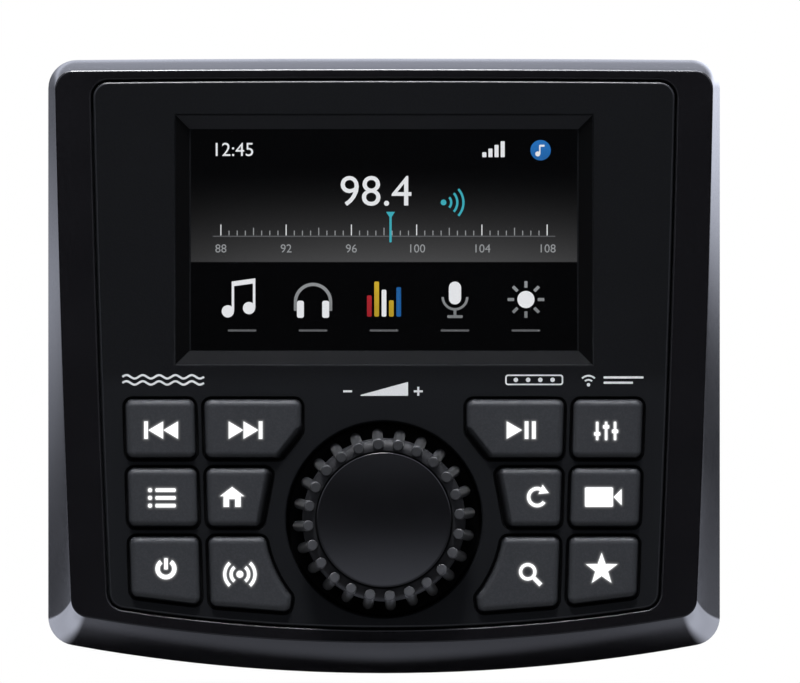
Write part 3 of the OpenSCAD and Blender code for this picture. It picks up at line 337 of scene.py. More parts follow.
def acrylic(name, smearScale=35, gloss=0.03):
    n = newFinish(name)
    smear = n.noise(smearScale, 4)
    tint = n.mixed(smear, (0.97, 0.975, 0.98), (0.99, 0.99, 0.995))
    return n.principled({
        "Base Color": tint, "Roughness": smear * gloss, "IOR": 1.49, "Transmission Weight": 1.0,
        "Specular IOR Level": 0.35})


def board(name, colour, trackScale=260.0, fineScale=1200, tones=(0.9, 1.1, 1.9), rough=0.32, wander=0.12,
          depth=0.01):
    n = newFinish(name)
    first, second, gap = (shade(colour, k) for k in tones)
    tracks = n.add("TexBrick", sockets={
        "Vector": n.coords(), "Scale": trackScale, "Mortar Size": 0.03, "Color1": first, "Color2": second,
        "Mortar": gap})
    fine = n.noise(fineScale, 2)
    return n.principled({
        "Base Color": tracks, "Roughness": rough + fine * wander, "Normal": n.bump(fine, depth)})


def lit(name, colour, strength=1.0, fade=0.0, low=0.0, high=1.0, wander=0.06):
    # a lit mark; fade darkens it from high towards low along Z
    n = newFinish(name)
    rise, fine = n.smooth(n.along("Z"), low * mm, high * mm), n.noise(900, 2)
    share = (rise * fade + (1 - fade) + (fine - 0.5) * wander).clamped()
    tone = n.mixed(share, shade(colour, 0.1), colour)
    return n.principled({
        "Base Color": (0.01, 0.01, 0.01), "Roughness": 0.6, "Specular IOR Level": 0.0,
        "Emission Color": tone, "Emission Strength": strength})


plastics = {
    # colour, roughness, size and depth of the grain, mottling, then what else differs
    "trimPaint": ((0.0046, 0.0044, 0.0054), 0.13, 0.9, 0.0008, 0.10, {}),
    "trimSeam": ((0.0046, 0.0044, 0.0054), 0.36, 0.9, 0.0008, 0.10, {"specular": 0.36}),
    # panelGrain's fade is painted light: from just below the display downwards the panel is painted up to
    # 1.85 times lighter
    "panelGrain": ((0.0035, 0.0038, 0.0045), 0.60, 0.46, 0.022, 0.18,
                   {"speckle": 0.60, "specular": 0.06, "fade": ("Z", -0.5, -6.0, 1.85)}),
    "panelEdge": ((0.0054, 0.0059, 0.0070), 0.34, 0.34, 0.006, 0.16, {}),
    # darker, less glossy copy of the grip rubber for the core between the ribs: painted shade
    "gripCore": ((0.0112, 0.0114, 0.0128), 0.50, 0.4, 0.012, 0.10, {"specular": 0.14}),
    # near-black copy of the panel finish for the side slopes, the lip's mitre and the key openings: painted
    # shade
    "frameShade": ((0.0016, 0.0016, 0.0017), 0.50, 0.34, 0.01, 0.16, {"specular": 0.05}),
    # lighter copy of the panel finish for the top slope: painted light
    "frameTop": ((0.0170, 0.0178, 0.0205), 0.60, 0.34, 0.02, 0.16, {"specular": 0.05}),
    # darker, less glossy copy of the panel finish for the bottom slope: painted shade
    "frameLow": ((0.0036, 0.0038, 0.0044), 0.60, 0.34, 0.02, 0.16, {"specular": 0.03}),
    # near-black finish of the knob well and of the gap round the cap: painted shade
    "wellShade": ((0.0022, 0.0022, 0.0024), 0.60, 0.5, 0.01, 0.2, {"specular": 0.05}),
    # keyRubber's fade is painted shade: each key darkens to 0.12 of its colour towards its foot
    "keyRubber": ((0.0226, 0.0240, 0.0273), 0.50, 0.40, 0.016, 0.10,
                  {"speckle": 0.35, "specular": 0.20, "fade": ("Y", -19.75, -18.3, 0.12)}),
    "gripRubber": ((0.0242, 0.0249, 0.0272), 0.42, 0.4, 0.010, 0.10, {"sheen": 0.05}),
    "capPlastic": ((0.0021, 0.0021, 0.0026), 0.22, 0.22, 0.008, 0.12, {}),
    "housingPlastic": ((0.014, 0.014, 0.015), 0.55, 0.6, 0.03, 0.12, {}),
    "sealRubber": ((0.010, 0.010, 0.010), 0.85, 0.8, 0.08, 0.2, {"specular": 0.25}),
    "silicone": ((0.16, 0.16, 0.165), 0.6, 1.2, 0.02, 0.08, {}),
    "platePaint": ((0.032, 0.033, 0.035), 0.50, 0.7, 0.05, 0.15, {}),
    "chipEpoxy": ((0.012, 0.012, 0.013), 0.5, 0.3, 0.02, 0.12, {}),
    "nylon": ((0.72, 0.71, 0.66), 0.42, 0.8, 0.01, 0.05, {}),
    "socketBlack": ((0.011, 0.011, 0.012), 0.36, 0.9, 0.012, 0.1, {}),
    "fuseBlue": ((0.015, 0.10, 0.42), 0.22, 1.5, 0.004, 0.12, {"coat": 0.3}),
    "printInk": ((0.62, 0.63, 0.65), 0.5, 0.25, 0.004, 0.05, {}),
}
metals = {
    # colour, roughness, then what else differs
    "steel": ((0.60, 0.60, 0.61), 0.28, {}),
    "zinc": ((0.50, 0.51, 0.53), 0.34, {"stretch": (12, 1, 1)}),
    "brass": ((0.78, 0.58, 0.26), 0.26, {}),
    "copper": ((0.72, 0.36, 0.20), 0.30, {"stretch": (6, 6, 1)}),
    "nickel": ((0.68, 0.66, 0.62), 0.20, {}),
    "sinkAnodised": ((0.058, 0.060, 0.064), 0.46, {"scratch": 0.2, "stretch": (1, 1, 0.05)}),
}
finishes = {}
for make, rows in ((moulded, plastics), (plated, metals)):
    finishes.update({name: make(name, *row, **extra) for name, (*row, extra) in rows.items()})
finishes["chassisSheet"] = galvanised("chassisSheet", (0.176, 0.180, 0.187))
finishes["lensAcrylic"] = acrylic("lensAcrylic")
finishes["circuitBoard"] = board("circuitBoard", (0.012, 0.085, 0.035))
print("finishes made:", len(finishes))


# outlines in X and Z, in millimetres: (x, z, corner radius), anticlockwise

fascia = dict(
    bottomArc=428.0, topCrown=0.4,
    # half widths at top and bottom, heights of both ends, corner radius, crown of the sides
    outer=((82.5, 82.5), (75.5, -75.5), 7.0, 0),
    face=((80.7, 76.5), (72.7, -67.7), 4.4, 0.4),
    panel=((71.4, 67.2), (69.95, -64.15), 3.8, 0.4),
    sideSteps=8, baseSteps=12, baseReach=0.84, crest=(0.8, 0.6, 0.3, 0, -0.3, -0.6, -0.8),
    faceY=-18.0, backY=-1.0, bow=0.4, rim=9.3,
)


def bow(x):
    return x * x / (2 * fascia["bottomArc"])


def sideEnds(ends, narrow):
    return ends[1] + bow(narrow), ends[0] - fascia["topCrown"]


def fasciaLine(half, ends, radius, crown):
    f, (wide, narrow), (top, bottom) = fascia, half, ends
    low, high = sideEnds(ends, narrow)
    side = [(lerp(narrow, wide, t) + crown * 4 * t * (1 - t), lerp(low, high, t), 0)
            for t in (i / f["sideSteps"] for i in range(1, f["sideSteps"]))]
    base = [(x, bottom + bow(x), 0) for x in (narrow * f["baseReach"] * (i / f["baseSteps"] - 1)
                                              for i in range(2 * f["baseSteps"] + 1))]
    crest = [(wide * t, top - f["topCrown"] * t * t, 0) for t in f["crest"]]
    return [(-narrow, low, radius), *base, (narrow, low, radius), *side, (wide, high, radius), *crest,
            (-wide, high, radius), *flipped(side)]


def flipped(corners):
    return [(-x, z, r) for x, z, r in reversed(corners)]


def insetEdges(corners, dist, straight=0.002, leastRadius=0.3):
    line = []
    for i, corner in enumerate(corners):
        before, p, after = (Vector(c[:2]) for c in (corners[i - 1], corner, corners[(i + 1) % len(corners)]))
        u, v = (p - before).normalized(), (after - p).normalized()
        first, second = dist[i - 1], dist[i]
        turn = u.x * v.y - u.y * v.x
        if abs(turn) < straight:
            q = p + Vector((-u.y, u.x)) * (first + second) / 2
        else:
            q = p + (v * first - u * second) / turn
        line.append((q.x, q.y, corner[2] and max(leastRadius, corner[2] - (first + second) / 2)))
    return line


def inset(corners, d):
    return insetEdges(corners, [d] * len(corners))


def rounded(corners, steps=9):
    points = []
    for i, (x, z, r) in enumerate(corners):
        if r <= 0:
            points.append((x, z))
            continue
        before, p, after = (Vector(c[:2]) for c in (corners[i - 1], (x, z), corners[(i + 1) % len(corners)]))
        a, b = (before - p).normalized(), (after - p).normalized()
        half = acos(max(-1, min(1, a.dot(b)))) / 2
        centre = p + (a + b).normalized() * r / sin(half)
        s, e = (p + way * r / tan(half) - centre for way in (a, b))
        start = atan2(s.y, s.x)
        sweep = (atan2(e.y, e.x) - start + pi) % (2 * pi) - pi
        points += [(centre.x + r * cos(start + t), centre.y + r * sin(start + t))
                   for t in swing(steps, 0, sweep)]
    return points


def bevelLine(t):
    # straight in X, bowed outwards in Z
    upright = t * (1 - fascia["bow"]) + fascia["bow"] * t ** 3
    return [(lerp(p[0], q[0], t), lerp(p[1], q[1], upright), lerp(p[2], q[2], t))
            for p, q in zip(outerLine, faceLine)]


def boxLine(x, z, w, h, r=0):
    return [(x + sx * w / 2, z + sz * h / 2, r) for sx, sz in ((-1, -1), (1, -1), (1, 1), (-1, 1))]


outerLine, faceLine, panelLine = (fasciaLine(*fascia[name]) for name in ("outer", "face", "panel"))


# a mesh in the making, in millimetres

class Shape:
    def __init__(self):
        self.points, self.faces, self.slots = [], [], []

    def place(self, points):
        first = len(self.points)
        self.points += points
        return list(range(first, len(self.points)))

    def ring(self, outline, y):
        return self.place([(p[0], y, p[1]) for p in outline])

    def insetRing(self, corners, d, y):
        return self.ring(rounded(inset(corners, d)), y)

    # rounded edge of a flat face at y
    def rolled(self, corners, r, y, steps, sign=1, start=0.0):
        return [self.insetRing(corners, start + sign * r * over, y + r * down)
                for over, down in fillet(steps)]

    def face(self, indices, slot=0):
        self.faces.append(indices)
        self.slots.append(slot)

    # corners that fall together, as at a pole, count once
    def bridge(self, a, b, slot=0):
        for i in range(len(a)):
            j = (i + 1) % len(a)
            self.face(list(dict.fromkeys((a[i], a[j], b[j], b[i]))), slot)

    def tower(self, rings, slot=0):
        for a, b in zip(rings, rings[1:]):
            self.bridge(a, b, slot)

    def post(self, rings):
        self.tower(rings)
        self.face(rings[0])
        self.face(rings[-1])

    # flat face with holes: the outer loop first
    def fill(self, loops, slot=0):
        flat = [i for loop in loops for i in loop]
        outlines = [[Vector((self.points[i][0], self.points[i][2], 0)) for i in loop] for loop in loops]
        for t in tessellate_polygon(outlines):
            self.face([flat[i] for i in t], slot)

    # solid of revolution about a Y axis through (x, z), from (radius, y) pairs
    def turned(self, x, z, profile, count, slot=0, closed=False):
        rings = [self.ring(circleLine(x, z, r, count), y) if r > 0 else self.place([(x, y, z)]) * count
                 for r, y in profile]
        self.tower(rings + rings[:1] if closed else rings, slot)

    def build(self, name, materials, sharp=38, weighted=True):
        mesh = bpy.data.meshes.new(name)
        mesh.from_pydata([(x * mm, y * mm, z * mm) for x, y, z in self.points], [], self.faces)
        for material in materials:
            mesh.materials.append(material)
        mesh.polygons.foreach_set("material_index", self.slots)
        work = bmesh.new()
        work.from_mesh(mesh)
        bmesh.ops.remove_doubles(work, verts=work.verts, dist=1e-7)
        bmesh.ops.recalc_face_normals(work, faces=work.faces)
        work.to_mesh(mesh)
        work.free()
        mesh.polygons.foreach_set("use_smooth", [True] * len(mesh.polygons))
        mesh.set_sharp_from_angle(angle=radians(sharp))
        made = newObject(name, mesh)
        if weighted:
            made.modifiers.new("faceNormals", "WEIGHTED_NORMAL").keep_sharp = True
        return made


def standsFor(piece, body, slotName=None, *cadNodes):
    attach(piece, body)
    if cadNodes:
        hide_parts(*cadNodes)


# trim: a bowed bevel all round, a rolled edge and a ring face

trim = dict(rings=16, roll=0.5, rollFrom=20.0, rollSteps=7, groove=0.5, innerRoll=0.4, innerSteps=5,
        ring=2.8, wall=1.8)


def makeTrim(v):
    s, front, back = Shape(), fascia["faceY"], fascia["backY"]
    start, roll = radians(v["rollFrom"]), v["roll"]
    end = 1 - roll * (1 - sin(start)) / (back - front)
    rings = [s.ring(rounded(bevelLine(t)), lerp(back, front, t)) for t in swing(v["rings"], 0, end)]
    for t in swing(v["rollSteps"], 1, 1.0):
        a = lerp(start, pi / 2, t)
        rings.append(s.insetRing(bevelLine(end), roll * (cos(start) - cos(a)), front + roll * (1 - sin(a))))
    seam = len(rings)
    rings += s.rolled(panelLine, v["innerRoll"], front, v["innerSteps"], -1, -v["groove"])
    rings.append(s.insetRing(panelLine, -v["groove"], front + v["ring"]))
    rings += [s.insetRing(faceLine, v["wall"], y) for y in (front + v["ring"], back)]
    s.tower(rings[:seam + 1])
    s.tower(rings[seam:] + rings[:1], 1)
    piece = s.build("trim_bezel_dressed", [finishes["trimPaint"], finishes["trimSeam"]])
    standsFor(piece, "housing", "trim_plastic", "trim_bezel")


makeTrim(trim)
print("trim made")


# keys: outlines shared by the panel openings and the keys

keyPad = dict(
    top=-8.1, height=14.7, width=17.196, gap=2.1, side=5.7, bottom=3.0,
    proud=2.2, corner=1.9, clearance=0.45,
    scoop=29.25, flatBack=0.6, innerEdge=20.1, tipEdge=22.4, tipReach=0.5, tipCorner=2.0,
    arcSteps=12, arcEnd=0.14,  # share of the arc in its first and in its last step
    flange=0.8, flangeThick=1.0, seat=-15.0,
    # each edge: slope and its depth, then the width and depth of the rounding above it
    edges=dict(side=(0.35, 2.6, 1.4, 1.2), foot=(0.8, 2.6, 0.95, 0.8), scoop=(1.75, 2.8, 0.4, 0.3)),
    scoopFacing=0.85,  # how squarely a scooped edge faces the knob
    levels=(2.8, 2.4, 1.8, 1.25, 0.95, 0.7, 0.5, 0.33, 0.2, 0.1, 0.04, 0.0),
)
knobZ = -37.65
keys = {
    # column, row and side, then the middle of its legend
    "previous": ((0, 0, -1), (-54.55, -15.7)), "next": ((1, 0, -1), (-33.95, -15.7)),
    "mode": ((0, 1, -1), (-54.4, -32.3)), "home": ((1, 1, -1), (-37.2, -32.1)),
    "power": ((0, 2, -1), (-53.4, -49.5)), "band": ((1, 2, -1), (-35.3, -51.0)),
    "play": ((1, 0, 1), (33.6, -15.7)), "tone": ((0, 0, 1), (54.4, -15.9)),
    "repeat": ((1, 1, 1), (37.5, -32.1)), "camera": ((0, 1, 1), (53.7, -32.1)),
    "scan": ((1, 2, 1), (35.8, -51.0)), "favourite": ((0, 2, 1), (53.3, -49.6)),
}


def panelHalf(z):
    (wide, narrow), ends, radius, crown = fascia["face"]
    low, high = sideEnds(ends, narrow)
    return lerp(narrow, wide, (z - low) / (high - low)) - fascia["rim"] + crown


def rowTop(row):
    return keyPad["top"] - row * (keyPad["height"] + keyPad["gap"])


def rowLow(row, x):
    return rowTop(row) - keyPad["height"] if row < 2 else fascia["panel"][1][1] + bow(x) + keyPad["bottom"]


def columnLeft(col, z):
    return -(panelHalf(z) - keyPad["side"]) + col * (keyPad["width"] + keyPad["gap"])


def scoopAngle(x, z):
    return atan2(z - knobZ, x) % (2 * pi)


def scoopHeight(x):
    return sqrt(keyPad["scoop"] ** 2 - x * x)


def leftKey(col, row):
    v, zt = keyPad, rowTop(row)
    corner, tip, edge, steps = v["corner"], v["tipEdge"], v["innerEdge"], v["arcSteps"]
    xt = columnLeft(col, zt)
    if col == 0:
        x0 = columnLeft(0, rowLow(row, xt + v["width"] / 2))
        x1 = x0 + v["width"]
        low = [(x, rowLow(row, x), corner) for x in (x0, x1)]
        return [*low, (xt + v["width"], zt, corner), (xt, zt, corner)]
    xb = columnLeft(1, rowLow(row, -tip))
    zb = rowLow(row, xb)
    if row < 2:
        reach = v["scoop"] + row * v["flatBack"]
        inner = [(-sqrt(reach ** 2 - (z - knobZ) ** 2), z) for z in (zb, zt)[:row + 1]]
        if row == 0:
            inner += [(-edge, knobZ + scoopHeight(edge)), (-edge, zt)]
        return [(x, z, corner) for x, z in ((xb, zb), *inner, (xt, zt))]
    last = scoopAngle(-tip, knobZ - scoopHeight(tip))
    first = scoopAngle(-scoopHeight(zt - knobZ), zt)
    arc = []
    for k in range(steps + 1):
        # a longer first and last step leaves room for the rounded corner
        inside = max(0, min(1, (k - 1) / (steps - 2)))
        a = lerp(last, first, v["arcEnd"] * ((k > 0) + (k == steps)) + (1 - 2 * v["arcEnd"]) * inside)
        arc.append((v["scoop"] * cos(a), v["scoop"] * sin(a) + knobZ, corner if k in (0, steps) else 0))
    return [(xb, zb, corner), (-tip - v["tipReach"], rowLow(row, tip), v["tipCorner"]), *arc,
            (xt, zt, corner)]


def keyLine(key):
    corners = leftKey(*key[:2])
    return corners if key[2] < 0 else flipped(corners)


def keyInsets(key, corners, v, depth):
    # how far each edge is drawn in at this depth below the key's face
    dist = []
    for i, corner in enumerate(corners):
        start, end = (Vector(c[:2]) for c in (corner, corners[(i + 1) % len(corners)]))
        along, toKnob = (end - start).normalized(), (Vector((0, knobZ)) - (start + end) / 2).normalized()
        kind = "foot" if along.x > abs(along.y) else "side"
        if key[0] == 1 and key[1] < 2 and along.y * toKnob.x - along.x * toKnob.y > v["scoopFacing"]:
            kind = "scoop"
        slope, fall, brow, drop = v["edges"][kind]
        left = max(0.0, 1 - depth / drop)
        dist.append(slope * max(0.0, 1 - depth / fall) + brow * (1 - sqrt(1 - left * left)))
    return dist


# front panel: plate with openings, display frame, knob well and flange

panel = dict(
    thick=3.0, edge=0.55, keyEdge=0.25, edgeSteps=5, windowZ=30.9, window=(95.4, 54.4), bevel=3.3,
    lip=(0.36, 0.12), lipCorner=0.6, lipThick=0.1,
    well=24.0, wellSides=128, wellDepth=7.0, wellRound=0.8, wellWall=1.6, wellFloor=1.5, bushing=3.6,
    flangeThick=1.6, flangeGap=0.3, lensHole=(108.0, 67.0, 1.5), pocketTop=-5.8, pocketEdge=1.6,
    finishes=("panelGrain", "frameShade", "wellShade", "panelEdge", "frameTop", "frameLow"),
)


def makeFrame(s, v, outer, back):
    # slopes round the display, with a narrow lip inside them
    (wide, high), (lipX, lipZ), seat = v["window"], v["lip"], back - v["lipThick"]
    lipLine = rounded(boxLine(0, v["windowZ"], wide - 2 * lipX, high - 2 * lipZ, v["lipCorner"]))
    inner = s.ring(boxLine(0, v["windowZ"], wide, high), seat)
    # painted light and shade on the slopes: the bottom one takes a darker copy of the panel finish, the sides
    # a near-black copy and the top a lighter copy
    for k, slot in enumerate((5, 1, 4, 1)):
        s.face([outer[k], outer[k - 3], inner[k - 3], inner[k]], slot)
    mitre = s.ring(rounded(boxLine(0, v["windowZ"], wide, high, v["lipCorner"])), seat)
    lip, end = s.ring(lipLine, seat), s.ring(lipLine, back)
    s.fill([inner, mitre], 1)
    s.tower([mitre, lip, end])
    return end


def makePanel(v):
    s, front = Shape(), fascia["faceY"]
    back = front + v["thick"]
    windowLine = boxLine(0, v["windowZ"], *[side + 2 * v["bevel"] for side in v["window"]])
    wellLine = circleLine(0, knobZ, v["well"], v["wellSides"])
    keyHoles = [inset(keyLine(key), -keyPad["clearance"]) for key, place in keys.values()]
    faceLoops, backLoops = [], []
    for i, line in enumerate([panelLine, windowLine, wellLine, *keyHoles]):
        edge, sign = v["edge"] if i < 3 else v["keyEdge"], -1 if i else 1
        rings = s.rolled(line, edge, front, v["edgeSteps"], sign)
        if line is windowLine:
            backLoops.append(makeFrame(s, v, rings[-1], back))
        else:
            backLoops.append(s.ring(rounded(line), back))
            if line is wellLine:
                # the well's wall in the near-black finish: painted shade
                s.bridge(rings[-1], backLoops[-1], 2)
            else:
                rings.append(backLoops[-1])
        faceLoops.append(rings[0])
        # the key openings' edges and walls take the near-black copy of the panel finish: painted shade in the
        # gaps round the keys
        s.tower(rings, (3, 0, 0)[i] if i < 3 else 1)
    s.fill(faceLoops)
    s.fill(backLoops)
    # cup of the knob well, in the near-black finish: painted shade
    well, floor, edge = v["well"], front + v["wellDepth"], v["wellRound"]
    wall, under = well + v["wellWall"], floor + v["wellFloor"]
    s.turned(0, knobZ, [(well, back), (well, floor - edge), (well - edge, floor), (v["bushing"], floor),
                        (v["bushing"], under), (wall, under), (wall, back)], v["wellSides"], 2, closed=True)
    # flange behind the trim, open for the lens and the keys
    rimLine = rounded(inset(faceLine, trim["wall"] + v["flangeGap"]))
    lensHole = rounded(boxLine(0, v["windowZ"], *v["lensHole"]))
    top, inner = v["pocketTop"], v["pocketEdge"]
    keyHole = [p for p in rounded(inset(panelLine, inner)) if p[1] < top]
    rightward = 0.01  # little, so that the topmost point on the right is found
    corner = max(range(len(keyHole)), key=lambda i: keyHole[i][1] + keyHole[i][0] * rightward)
    edgeX = panelHalf(top) - inner
    keyHole = keyHole[corner + 1:] + keyHole[:corner + 1] + [(edgeX, top), (-edgeX, top)]
    loops = [[s.ring(line, back + y) for line in (rimLine, lensHole, keyHole)]
             for y in (hair, v["flangeThick"])]
    for a, b in zip(*loops):
        s.bridge(a, b)
    s.fill(loops[0])
    s.fill(loops[1])
    piece = s.build("front_panel_dressed", [finishes[k] for k in v["finishes"]])
    standsFor(piece, "housing", "panel_plastic", "front_panel")


makePanel(panel)
print("panel made")


# flat marks: islands of loops, the outer loop first, pressed out a little from a plane

def bar(x, z, w, h, r, most=0.49):
    return [rounded(boxLine(x, z, w, h, min(r, w * most, h * most)), 4)]


def disc(x, z, r, count=40):
    return [[p[:2] for p in circleLine(x, z, r, count)]]


def arcBand(x, z, r0, r1, start, end, count=28):
    angles = [radians(lerp(start, end, k / count)) for k in range(count + 1)]
    return [[(x + r * cos(a), z + r * sin(a)) for r, way in ((r1, angles), (r0, angles[::-1])) for a in way]]


def polygon(*points):
    return [list(points)]


def stroke(points, w):
    # band of one width along a path
    pts = [Vector(p) for p in points]
    left, right = [], []
    for i, p in enumerate(pts):
        d = (pts[min(i + 1, len(pts) - 1)] - pts[max(i - 1, 0)]).normalized() * w / 2
        left.append((p.x - d.y, p.y + d.x))
        right.append((p.x + d.y, p.y - d.x))
    return [right + left[::-1]]


def moved(islands, dx, dz, scale=1.0, mirror=1):
    return [[[(x * scale * mirror + dx, z * scale + dz) for x, z in loop] for loop in island]
            for island in islands]


def addMark(s, islands, front, back, slot=0, grow=0.0, corner=0.02):
    for island in islands:
        fronts, backs = [], []
        for i, loop in enumerate(island):
            area = sum(a[0] * b[1] - b[0] * a[1] for a, b in zip(loop, loop[1:] + loop[:1]))
            line = [(x, z, corner) for x, z in (loop if area > 0 else reversed(loop))]
            if grow:
                line = rounded(inset(line, grow if i else -grow), 3)
            fronts.append(s.ring(line, front))
            backs.append(s.ring(line, back))
            s.bridge(fronts[-1], backs[-1], slot)
        s.fill(fronts, slot)
        s.fill(backs, slot)


def legendShapes():
    skip = [bar(-4.1, 0, 1.0, 4.7, 0.1), *[polygon((x, 0), (end, -2.35), (end, 2.35))
                                           for x, end in ((-3.5, 0.5), (0.55, 4.5))]]
    house = [polygon((-2.1, -2.4), (-0.75, -2.4), (-0.75, -0.5), (0.75, -0.5), (0.75, -2.4), (2.1, -2.4),
                     (2.1, 0.2), (3.0, 0.2), (0, 2.5), (-3.0, 0.2), (-2.1, 0.2))]
    power = [arcBand(0, -0.15, 1.5, 2.6, 125, 415, 40), bar(0, 1.05, 0.9, 2.8, 0.2)]
    play = [polygon((-3.9, -2.35), (0.2, 0), (-3.9, 2.35)), *[bar(x, 0, 1.0, 4.7, 0.1) for x in (1.45, 3.4)]]
    film = [[rounded([(-4.5, -2.4, 0.35), (2.4, -2.4, 0.35), (2.4, 2.4, 0.35), (-4.5, 2.4, 0.35)], 4)],
            polygon((2.5, 0), (4.5, -2.0), (4.5, 2.0))]
    star = [polygon(*[(sin(k * pi / 5) * r, cos(k * pi / 5) * r - 0.2)
                      for k, r in enumerate((4.1, 1.65) * 5)])]
    # plain pictograms
    mode = [bar(x, z, w, h, r) for x, w, h, r in ((-2.9, 1.0, 1.0, 0.4), (0.9, 5.0, 0.9, 0.3))
            for z in (1.9, 0, -1.9)]
    waves = [disc(0, 0, 0.85), *[arcBand(0, 0, r, r + 0.8, turn - half, turn + half)
                                 for turn in (0, 180) for r, half in ((1.75, 52), (3.3, 48))]]
    tone = [bar(x, 0, 0.7, 5.0, 0.3) for x in (-2.4, 0, 2.4)]
    tone += [bar(x, z, 1.7, 1.1, 0.4) for x, z in ((-2.4, -0.8), (0, 1.1), (2.4, -0.1))]
    again = [arcBand(0, 0, 1.65, 2.5, 66, 325, 40), polygon((1.35, 3.04), (0.33, 0.75), (2.86, 1.0))]
    scan = [disc(-0.6, 0.6, 2.15, 48) + disc(-0.6, 0.6, 1.35, 48), stroke([(0.85, -0.85), (2.6, -2.6)], 1.0)]
    smaller = 0.91
    skip, play, tone = (moved(mark, 0, 0, smaller) for mark in (skip, play, tone))
    return {"previous": skip, "next": moved(skip, 0, 0, mirror=-1), "mode": mode, "home": house,
            "power": power, "band": waves, "play": play, "tone": tone, "repeat": again, "camera": film,
            "scan": scan, "favourite": star}


legend = {
    # each layer: colour, strength, how far it spreads and how far it stands proud
    "legendWhite": ((1.0, 1.0, 1.0), 1.15, 0.0, 0.048),
    # the three wider, dimmer layers are a painted halo of light on the key face round the backlit legend
    "legendGlow": ((0.27, 0.275, 0.285), 1.0, 0.15, 0.036),
    "legendHaloMiddle": ((0.10, 0.103, 0.108), 1.0, 0.36, 0.024),
    "legendHaloOuter": ((0.047, 0.048, 0.052), 1.0, 0.66, 0.012),
}


def makeKeys(v):
    shapes, front = legendShapes(), fascia["faceY"] - v["proud"]
    glows = [lit(name, *layer[:2]) for name, layer in legend.items()]
    for name, (key, place) in keys.items():
        s, mark, corners, body = Shape(), Shape(), keyLine(key), "key_" + name
        rings = [s.insetRing(corners, -v["flange"], y) for y in (v["seat"] + v["flangeThick"], v["seat"])]
        rings.append(s.ring(rounded(corners), v["seat"]))
        for depth in v["levels"]:
            line = rounded(insetEdges(corners, keyInsets(key, corners, v, depth)))
            rings.append(s.ring(line, front + depth))
        s.tower(rings)
        s.fill([rings[0]])
        s.fill([rings[-1]])
        standsFor(s.build("key_%s_dressed" % name, [finishes["keyRubber"]]), body, "key_plastic", body)
        # the backlit legend, then three wider, dimmer layers: a painted halo of light round it
        for slot, (colour, strength, grow, proud) in enumerate(legend.values()):
            addMark(mark, moved(shapes[name], *place), front - proud, front + hair, slot, grow)
        standsFor(mark.build("legend_" + name, glows, weighted=False), body)


makeKeys(keyPad)
print("keys made:", len(keys))


# knob: ribbed grip and dished cap

knob = dict(
    front=-28.97, gripBack=-13.4, capSeat=-26.7, sides=120,
    cap=16.45, dish=1.1, dishSteps=24, rim=0.45, rimTurn=34.0, rimSteps=6,
    crest=((0.12, 0.02), (0.35, 0.04)),  # from the dish to the rim: out and forward
    inner=16.9, core=20.0, coreFront=-27.2, lip=(2.9, 2.8), lipSteps=8, hub=17.65,
    gap=16.3, gapFloor=-26.8,
    ribs=24, rib=1.33, ribSides=20, ribFront=18.45, ribLean=2.65, ribPhase=-4.4, ribShort=0.4,
    ribRound=0.3, ribSteps=5,
)


def makeGrip(v):
    s, back, front, seat = Shape(), v["gripBack"], v["coreFront"], v["capSeat"]
    wide, deep = v["lip"]
    lip = [(v["core"] - wide * over, front + deep * down) for over, down in fillet(v["lipSteps"])]
    # core, lip and hub in a darker copy of the grip rubber: painted shade between the ribs
    s.turned(0, knobZ, [(v["inner"], front), *lip, (v["core"], back), (v["hub"], back), (v["hub"], seat)],
             v["sides"], 1)
    # gap between the cap and the grip, its walls and floor in the near-black finish: painted shade
    s.turned(0, knobZ, [(v["hub"], seat), (v["gap"], seat), (v["gap"], v["gapFloor"]),
                        (v["inner"], v["gapFloor"]), (v["inner"], front)], v["sides"], 2)
    # ribs that lean in towards the front
    length, end = back - v["front"], v["ribRound"]
    reach = hypot(v["ribLean"], length) - v["ribShort"]
    lean = Matrix.Rotation(atan2(v["ribLean"], length), 3, "X")
    foot = Vector((0, back, v["ribFront"] + v["ribLean"]))
    profile = [(v["rib"], 0.0), (v["rib"], reach - end)]
    profile += [(v["rib"] - end * down, reach - end * over) for over, down in fillet(v["ribSteps"], 1)]
    for i in range(v["ribs"]):
        turn = Matrix.Rotation(radians(i * 360 / v["ribs"] + v["ribPhase"]), 3, "Y")
        rings = []
        for r, along in profile:
            circle = circleLine(0, 0, r, v["ribSides"])
            ring = [turn @ (lean @ Vector((p[0], -along, p[1])) + foot) for p in circle]
            rings.append(s.place([(p.x, p.y, p.z + knobZ) for p in ring]))
        s.post(rings)
    piece = s.build("knob_grip_dressed", [finishes[k] for k in ("gripRubber", "gripCore", "wellShade")])
    standsFor(piece, "knob", "knob_plastic", "knob_grip")


def makeCap(v):
    s, cap, dish, rim, turn = Shape(), v["cap"], v["dish"], v["rim"], radians(v["rimTurn"])
    bowl = (cap ** 2 + dish ** 2) / (2 * dish)
    edge = cap - rim * sin(turn) - v["crest"][-1][0]
    profile = [(r, v["front"] + dish - bowl + sqrt(bowl * bowl - r * r))
               for r in swing(v["dishSteps"], 0, edge)]
    last = profile[-1][1]
    profile += [(edge + out, last - up) for out, up in v["crest"]]
    r, y = profile[-1]
    profile += [(r + rim * sin(a), y + rim * (1 - cos(a))) for a in swing(v["rimSteps"], 1, turn)]
    s.turned(0, knobZ, [*profile, (cap, v["capSeat"]), (0, v["capSeat"])], v["sides"])
    standsFor(s.build("knob_cap_dressed", [finishes["capPlastic"]]), "knob", "cap_plastic", "knob_cap")


makeGrip(knob)
makeCap(knob)
print("knob made")


# display: a dark glass with a lit picture of our own

